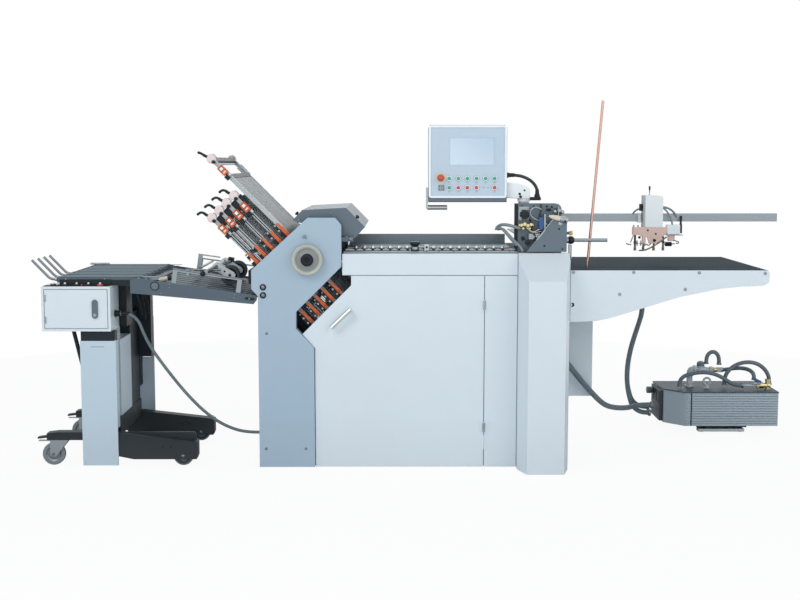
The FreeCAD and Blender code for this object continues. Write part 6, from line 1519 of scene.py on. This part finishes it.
def makeStand():
    holes, chrome = Piece("beamHoles", "darkPlastic"), Piece("standBolts", "screwSteel")
    rims, pale = Piece("beamCapsAndGapShade", "forkPaint"), Piece("standTrims", "castAlloy")
    black = Piece("deckLeads", "darkPlastic", "delivery", slot="cable_rubber")
    x, z = stand["wheelAt"]
    for y in stand["beams"]:
        for holeX in stand["holes"]:
            holes.turned(stand["hole"], (holeX, y, 85), front, 20)
        chrome.bolt((x, y, z), front, 7.0, 4.0)
        chrome.rod((x, y + 52, z), (x, y + 55, z), 7.0)
        rims.turned(stand["wheelRim"], (x, y + 4.6, z), front, 40)
        rims.block((-906, y + 2, 66), (-903, y + 50, 116), 1.0)
    # dark wall behind the front beam: painted shade in the gap between the beams
    rims.plate(stand["beamGapShade"], "XZ", 66, 16, 1.2)
    for seam in stand["seams"]:
        pale.block(*seam)
    # bundle of short leads in the hollow under the deck, each thinner than the last
    for n, (dx, dz) in enumerate(stand["leads"]):
        black.bent([(x + dx, y, z + dz) for x, y, z in stand["lead"]], stand["leadRadius"] - n)


caster = {
    "y": {"front": 58, "rear": 553}, "wheelAt": (-1531, 50), "ringAt": (-1501, 135), "axle": 5.0,
    "tread": [(34, -12), (47, -12), (49.4, -10), (50, -6), (50, 6), (49.4, 10), (47, 12), (34, 12), (34, -12)],
    "hub": [(0, -13), (9, -13), (11, -8), (27, -6), (34.4, -10), (34.4, 10), (27, 6), (11, 8), (9, 13),
            (0, 13)],
    "nut": [(0, 7), (3.4, 7), (4, 5), (7.6, 5), (8.4, 0), (0, 0)],
    "ring": [(16, -2), (21, -2), (23, -4), (23, -9), (16, -9)],
    "pedal": [(-1600, 118), (-1545, 124), (-1543, 131), (-1560, 132), (-1600, 126)],
}


def makeCasters():
    # tread, dished hub and axle nuts of each swivelling caster, and its brake pedal
    (x, z), (ringX, ringZ) = caster["wheelAt"], caster["ringAt"]
    for label, y in caster["y"].items():
        wheelBody, forkBody = "caster_wheel_" + label, "caster_" + label
        tread = Piece("casterTread_" + label, "casterTread", wheelBody, replaces=wheelBody)
        hub = Piece("casterHub_" + label, "screwSteel", wheelBody)
        nuts = Piece("casterNuts_" + label, "screwSteel", forkBody)
        pedal = Piece("casterPedal_" + label, "darkPlastic", forkBody)
        tread.turned(caster["tread"], (x, y, z), rear, 56)
        hub.turned(caster["hub"], (x, y, z), rear, 48)
        hub.rod((x, y - 24, z), (x, y + 24, z), caster["axle"])
        nuts.turned(caster["nut"], (x, y - 21, z), front, 6)
        nuts.turned(caster["nut"], (x, y + 21, z), rear, 6)
        nuts.turned(caster["ring"], (ringX, y, ringZ), up, 40)
        pedal.plate(caster["pedal"], "XZ", y - 14, 28, 1.6)


# ---- stacking table, covers and doors
apron = {
    "front": -2, "back": 768,
    "screws": [(748, 860), (1008, 860), (1291, 858), (1575, 856), (949, 765), (1232, 786)],
    "screw": [(0, 1.2), (2.6, 1.2), (3.0, 3.0), (6.4, 2.6), (7.4, 0), (0, 0)], "boltAt": (744, 4, 719),
    "bolt": [(0, 3), (5, 3), (6, 7), (11, 6), (13, 0), (0, 0)], "seamX": (760, 1584), "seams": (1.5, 761.5),
}


def makeApron():
    screws, bolt = Piece("apronScrews", "castAlloy", "lift"), Piece("apronBolt", "darkPlastic", "lift")
    seam = Piece("boardEdges", "forkPaint", "lift")
    for x, z in apron["screws"]:
        screws.turned(apron["screw"], (x, apron["front"], z), front, 24)
        screws.turned(apron["screw"], (x, apron["back"], z), rear, 24)
    bolt.turned(apron["bolt"], apron["boltAt"], (-0.5, -1, 0), 6)
    x0, x1 = apron["seamX"]
    for y in apron["seams"]:
        seam.block((x0, y, 866.6), (x1, y + 3, 869.4), 0.6)


covers = {
    "hoodKnobs": [(-443, 1106, -1.07), (-190, 1091, 1.02)],  # x, z and lean of the knob
    "knob": [(0, 13), (5, 13), (9, 10), (9, 5), (5, 3), (5, -2), (0, -2)],
    "hoodScrews": [(-438, 1082), (-300, 1112), (-232, 1010)], "hoodPivot": (-215, 1000), "hoodY": 40,
    "hinges": (181, 718), "hingeX": 377, "pinAt": (365.5, -6.3),
    # shadow lines between the sheets
    "seams": [((-249, -1.0, 846.2), (509, 0.6, 848.2), 0.3), ((365.6, -0.6, 8), (367.4, 0.6, 842), 0.2),
              ((507.4, -0.6, 8), (509.6, 0.8, 938), 0.2)],
    "handle": ((-297, -34, 622), (-211, -34, 704), 9.6), "handleFeet": [(-288, 631), (-220, 695)],
    "foot": [(0, 36), (6.4, 36), (6.4, 4), (9, 2), (9, 0), (0, 0)],
}


def makeCovers():
    screws, knobs = Piece("hoodScrews", "screwSteel", "hood"), Piece("hoodKnobs", "darkPlastic", "hood")
    hinges, seams = Piece("doorPins", "brushedSteel"), Piece("sheetSeams", "greyPlastic")
    handle = Piece("doorHandle", "chrome", "cabinet_door")
    for x, z, lean in covers["hoodKnobs"]:
        knobs.turned(covers["knob"], (x, 74, z), (lean, 0, 1), 24)
    for x, z in covers["hoodScrews"]:
        screws.bolt((x, covers["hoodY"], z), front, 4.4, 2.6, 18)
    x, z = covers["hoodPivot"]
    screws.bolt((x, covers["hoodY"], z), front, 7.5, 3.4)
    # hinge leaves of the door with countersunk screws
    pinX, pinY = covers["pinAt"]
    for z in covers["hinges"]:
        for dz in (-14, 14):
            hinges.bolt((covers["hingeX"], 0, z + dz), front, 3.4, 1.8, 16)
        hinges.rod((pinX, pinY, z - 20), (pinX, pinY, z + 20), 5.2, 20)
    for seam in covers["seams"]:
        seams.block(*seam)
    # door handle: bright bar between two feet
    handle.rod(*covers["handle"], 32, 2.0)
    for x, z in covers["handleFeet"]:
        handle.turned(covers["foot"], (x, 0, z), front, 28)


back = {
    "louvreX": (40, 300), "louvreZ": 300, "louvreStep": 22, "louvres": 9,
    "louvre": [(759.4, 0), (768, -3), (768, -6), (759.4, -9)],  # y and z
    "screwX": (-360, 20, 480), "screwZ": (30, 820), "lid": ((-330, 759, 520), (-60, 764, 800), 2.0),
    "lidScrewX": (-318, -72), "lidScrewZ": (532, 788), "boxDoor": ((716, 698, 244), (898, 706, 596), 2.0),
    "latches": (300, 540), "latch": [(0, 5), (3, 5), (3.6, 3), (9, 2.4), (10, 0), (0, 0)],
    "vents": 10, "ventFrom": 520, "ventPitch": 14,
}


def makeRear():
    # back of the cabinet: louvres, screwed lid and the electric box's door
    slats, screws = Piece("rearLouvres", "panelPaint"), Piece("rearScrews", "screwSteel")
    lids, vents = Piece("rearLids", "panelPaint"), Piece("boxVents", "greyPlastic")
    for n in range(back["louvres"]):
        z = back["louvreZ"] + n * back["louvreStep"]
        slats.plate([(y, z + dz) for y, dz in back["louvre"]], "YZ", *back["louvreX"], 0.4)
    for x in back["screwX"]:
        for z in back["screwZ"]:
            screws.bolt((x, 760, z), rear, 5.0, 2.6, 18)
    lids.block(*back["lid"])
    for x in back["lidScrewX"]:
        for z in back["lidScrewZ"]:
            screws.bolt((x, 764, z), rear, 4.4, 2.4, 18)
    # electric box: door edge, latches and a ribbed cooling plate on its outer side
    lids.block(*back["boxDoor"])
    for z in back["latches"]:
        screws.turned(back["latch"], (884, 706, z), rear, 24)
    for n in range(back["vents"]):
        y = back["ventFrom"] + n * back["ventPitch"]
        vents.block((909.4, y, 300), (911.6, y + 6, 420), 0.5)


# ---- vacuum pump
pump = {
    "outline": [(1410, 703), (1869, 703), (1869, 1013), (1312, 1013), (1312, 1000), (1322, 796)], "foot": 34,
    "top": 200,
    "lid": [(1406, 699), (1871, 699), (1871, 1014), (1309, 1014), (1319, 794)], "fins": 13, "joint": 1437,
    "grille": [(806, 40), (1006, 40), (1006, 194), (806, 194)], "grilleX": (1303, 16), "lugs": (812, 874, 936),
    "channels": (716, 916), "channelX": (1481, 1709), "tray": ((1472, 712, 26), (1718, 964, 34.4)),
    "feetX": (1500, 1690), "feetY": (738, 938),
    "rubberFoot": [(0, 0), (12, 0), (13, 2), (10, 12), (10, 22), (13, 28), (13, 34), (0, 34)],
}


def makePump():
    core = Piece("pumpHousing", "pumpPaint", replaces="pump_body")
    fins, lid = Piece("pumpFins", "pumpPaint"), Piece("pumpLid", "pumpTopPaint")
    seam, grille = Piece("pumpJoint", "darkPlastic"), Piece("pumpGrille", "grilleSheet")
    channels, black = Piece("pumpChannels", "galvanised"), Piece("pumpFeet", "darkPlastic")
    low, top, joint = pump["foot"], pump["top"], pump["joint"]
    core.plate(pump["outline"], "XY", low, top - low, 2.0)
    step = (top - low - 4) / pump["fins"]
    for n in range(pump["fins"]):
        z = low + 2 + n * step
        fins.block((joint + 6, 697, z), (1868, 705, z + step * 0.74), 1.2)
        fins.block((1414, 698.6, z), (joint - 1, 705, z + step * 0.74), 1.2)
    seam.block((joint, 701.6, low + 1), (joint + 5, 704, top - 1), 0.4)
    seam.block((joint, 703, 205.6), (joint + 5, 1010, 206.6), 0.3)
    lid.plate(pump["lid"], "XY", top, 6, 1.6)
    grille.plate(pump["grille"], "YZ", *pump["grilleX"], 1.6)
    for y in pump["lugs"]:
        seam.block((1300.6, y, 128), (1304, y + 50, 186), 1.4)
    x0, x1 = pump["channelX"]
    for y in pump["channels"]:
        channels.block((x0, y, 3), (x1, y + 44, 17), 1.6)
    black.block(*pump["tray"], 1.6)
    for x in pump["feetX"]:
        for y in pump["feetY"]:
            black.turned(pump["rubberFoot"], (x, y, 0), up, 28)


fittings = {
    "elbow": [(1462, 850, 204), (1462, 850, 252), (1462, 850, 284), (1470, 850, 295), (1492, 850, 296),
              (1508, 850, 296)], "elbowRadius": 15.5, "collars": [(206, 20), (222, 18.4), (262, 19)],
    "eye": {"centre": (1540, 240), "radius": 18, "wire": 5.6, "y": 810},
    "lever": [(1752, 262), (1758, 270), (1796, 252), (1792, 243), (1768, 246)],
    # profile, place, axis and steps of each turned fitting
    "silver": [([(14, 0), (19, 0), (20, 2), (20, 9), (19, 11), (14, 11)], (1480, 850, 296), right, 32),
               ([(0, 0), (17, 0), (20, 6), (21, 20), (19, 36), (14, 44), (12, 60), (0, 60)], (1500, 850, 292),
                right, 36),
               ([(15, 0), (19, 0), (20.4, 2), (20.4, 7), (19, 9), (15, 9)], (1516, 850, 303), up, 36),
               ([(0, 0), (12, 0), (13, 2), (13, 9), (10, 12), (0, 12)], (1766, 758, 236), up, 28),
               ([(0, 0), (15, 0), (16, 2), (12, 8), (8, 18), (0, 18)], (1540, 810, 204), up, 28)],
    "brass": [([(0, 0), (11, 0), (11.8, 2), (11.8, 14), (10, 16), (0, 16)], (1584, 850, 292), right, 28),
              ([(0, 0), (12, 0), (14.4, 5), (14.4, 22), (12, 28), (12, 42), (13.6, 43), (13.6, 56), (0, 56)],
               (1786, 760, 228), right, 32),
              ([(0, 0), (15, 0), (15, 7), (12, 8), (12, 44), (14, 45), (14, 54), (0, 54)], (1830, 760, 206),
               up, 32)],
    "knobs": [([(0, 30), (9, 29), (16, 25), (19, 18), (19.6, 4), (17, 0), (0, 0)], (1516, 850, 307), up, 36),
              ([(0, 0), (15, 0), (17.4, 2), (17.4, 22), (14, 26), (12, 34), (0, 34)], (1268, 956, 170), right,
               32)],
    "sleeves": [(830, 116), (872, 68), (914, 90)],
    "sleeve": [(13.6, 0), (17, 0), (17.6, 2), (17.6, 9), (17, 11), (13.6, 11)],
    "clamp": [(10.2, 0), (12.2, 0), (12.8, 1), (12.8, 7), (12.2, 8), (10.2, 8)],
    "clamps": [((1544, 850, 322), up), ((1609, 850, 318), up), ((1625, 800, 224), up), ((1850, 800, 224), up),
               ((1620, 850, 292), right), ((1762, 760, 256), up), ((1398, 790, 218), up),
               ((1700, 760, 228), right)],
}


def makePumpFittings():
    # galvanised pipework, brass ball valve with a blue lever, lifting eye, oil knob and hose clamps
    silver = Piece("pumpPipes", "galvanised", replaces="pump_fittings")
    brass, blue = Piece("pumpBrass", "brassFitting"), Piece("pumpLever", "bluePlastic")
    dark = Piece("pumpKnobs", "motorPaint", slot="dark_plastic")
    clamps = Piece("hoseClamps", "screwSteel")
    silver.bent(fittings["elbow"], fittings["elbowRadius"], 10)
    x, y, _ = fittings["elbow"][0]
    for z, r in fittings["collars"]:
        silver.turned([(14, 0), (r, 0), (r + 0.8, 2), (r + 0.8, 8), (r, 10), (14, 10)], (x, y, z), up, 32)
    for piece, group in ((silver, "silver"), (brass, "brass"), (dark, "knobs")):
        for profile, place, axis, steps in fittings[group]:
            piece.turned(profile, place, axis, steps)
    silver.hexBar((1560, 850, 292), (1574, 850, 292), 17)
    brass.hexBar((1574, 850, 292), (1584, 850, 292), 14.5)
    brass.hexBar((1774, 760, 228), (1786, 760, 228), 15)
    silver.block((1598, 838, 280), (1622, 862, 304), 2.4)
    silver.rod((1706, 760, 228), (1776, 760, 228), 5.6)
    blue.plate(fittings["lever"], "XZ", 742, 12, 1.8)
    eye = fittings["eye"]
    x, z = eye["centre"]
    turns = [-1.2 + n * 0.62 for n in range(10)]
    loop = [(x + eye["radius"] * math.cos(a), eye["y"], z + eye["radius"] * math.sin(a)) for a in turns]
    silver.bent(loop, eye["wire"], 8)
    for y, z in fittings["sleeves"]:
        clamps.turned(fittings["sleeve"], (1262, y, z), right, 32)
    for place, axis in fittings["clamps"]:
        clamps.turned(fittings["clamp"], place, axis, 28)


# ---- run
stages = (
    dressNodes, makeCamera, makeLamps, makeFloor, makeWorld, makeCords,
    makePlateEnds, makePlateRails, makeUpperTray, makeLevers, makeLowerLevers, makeHandwheel, makeCoverScrews,
    makePanelCase, makePanelControls, makePanelArm, makeHeadPlates, makeFeederHead, makeSuctionHead,
    makeRegisterTable, makeInfeed, makePressWheels, makeControlBox, makeDeck, makeStand, makeCasters,
    makeApron, makeCovers, makeRear, makePump, makePumpFittings,
)
for stage in stages:
    stage()
    for piece in Piece.waiting:
        piece.done()
    print("%s: %d pieces" % (stage.__name__, len(Piece.waiting)))
    Piece.waiting.clear()

bpy.context.view_layer.update()
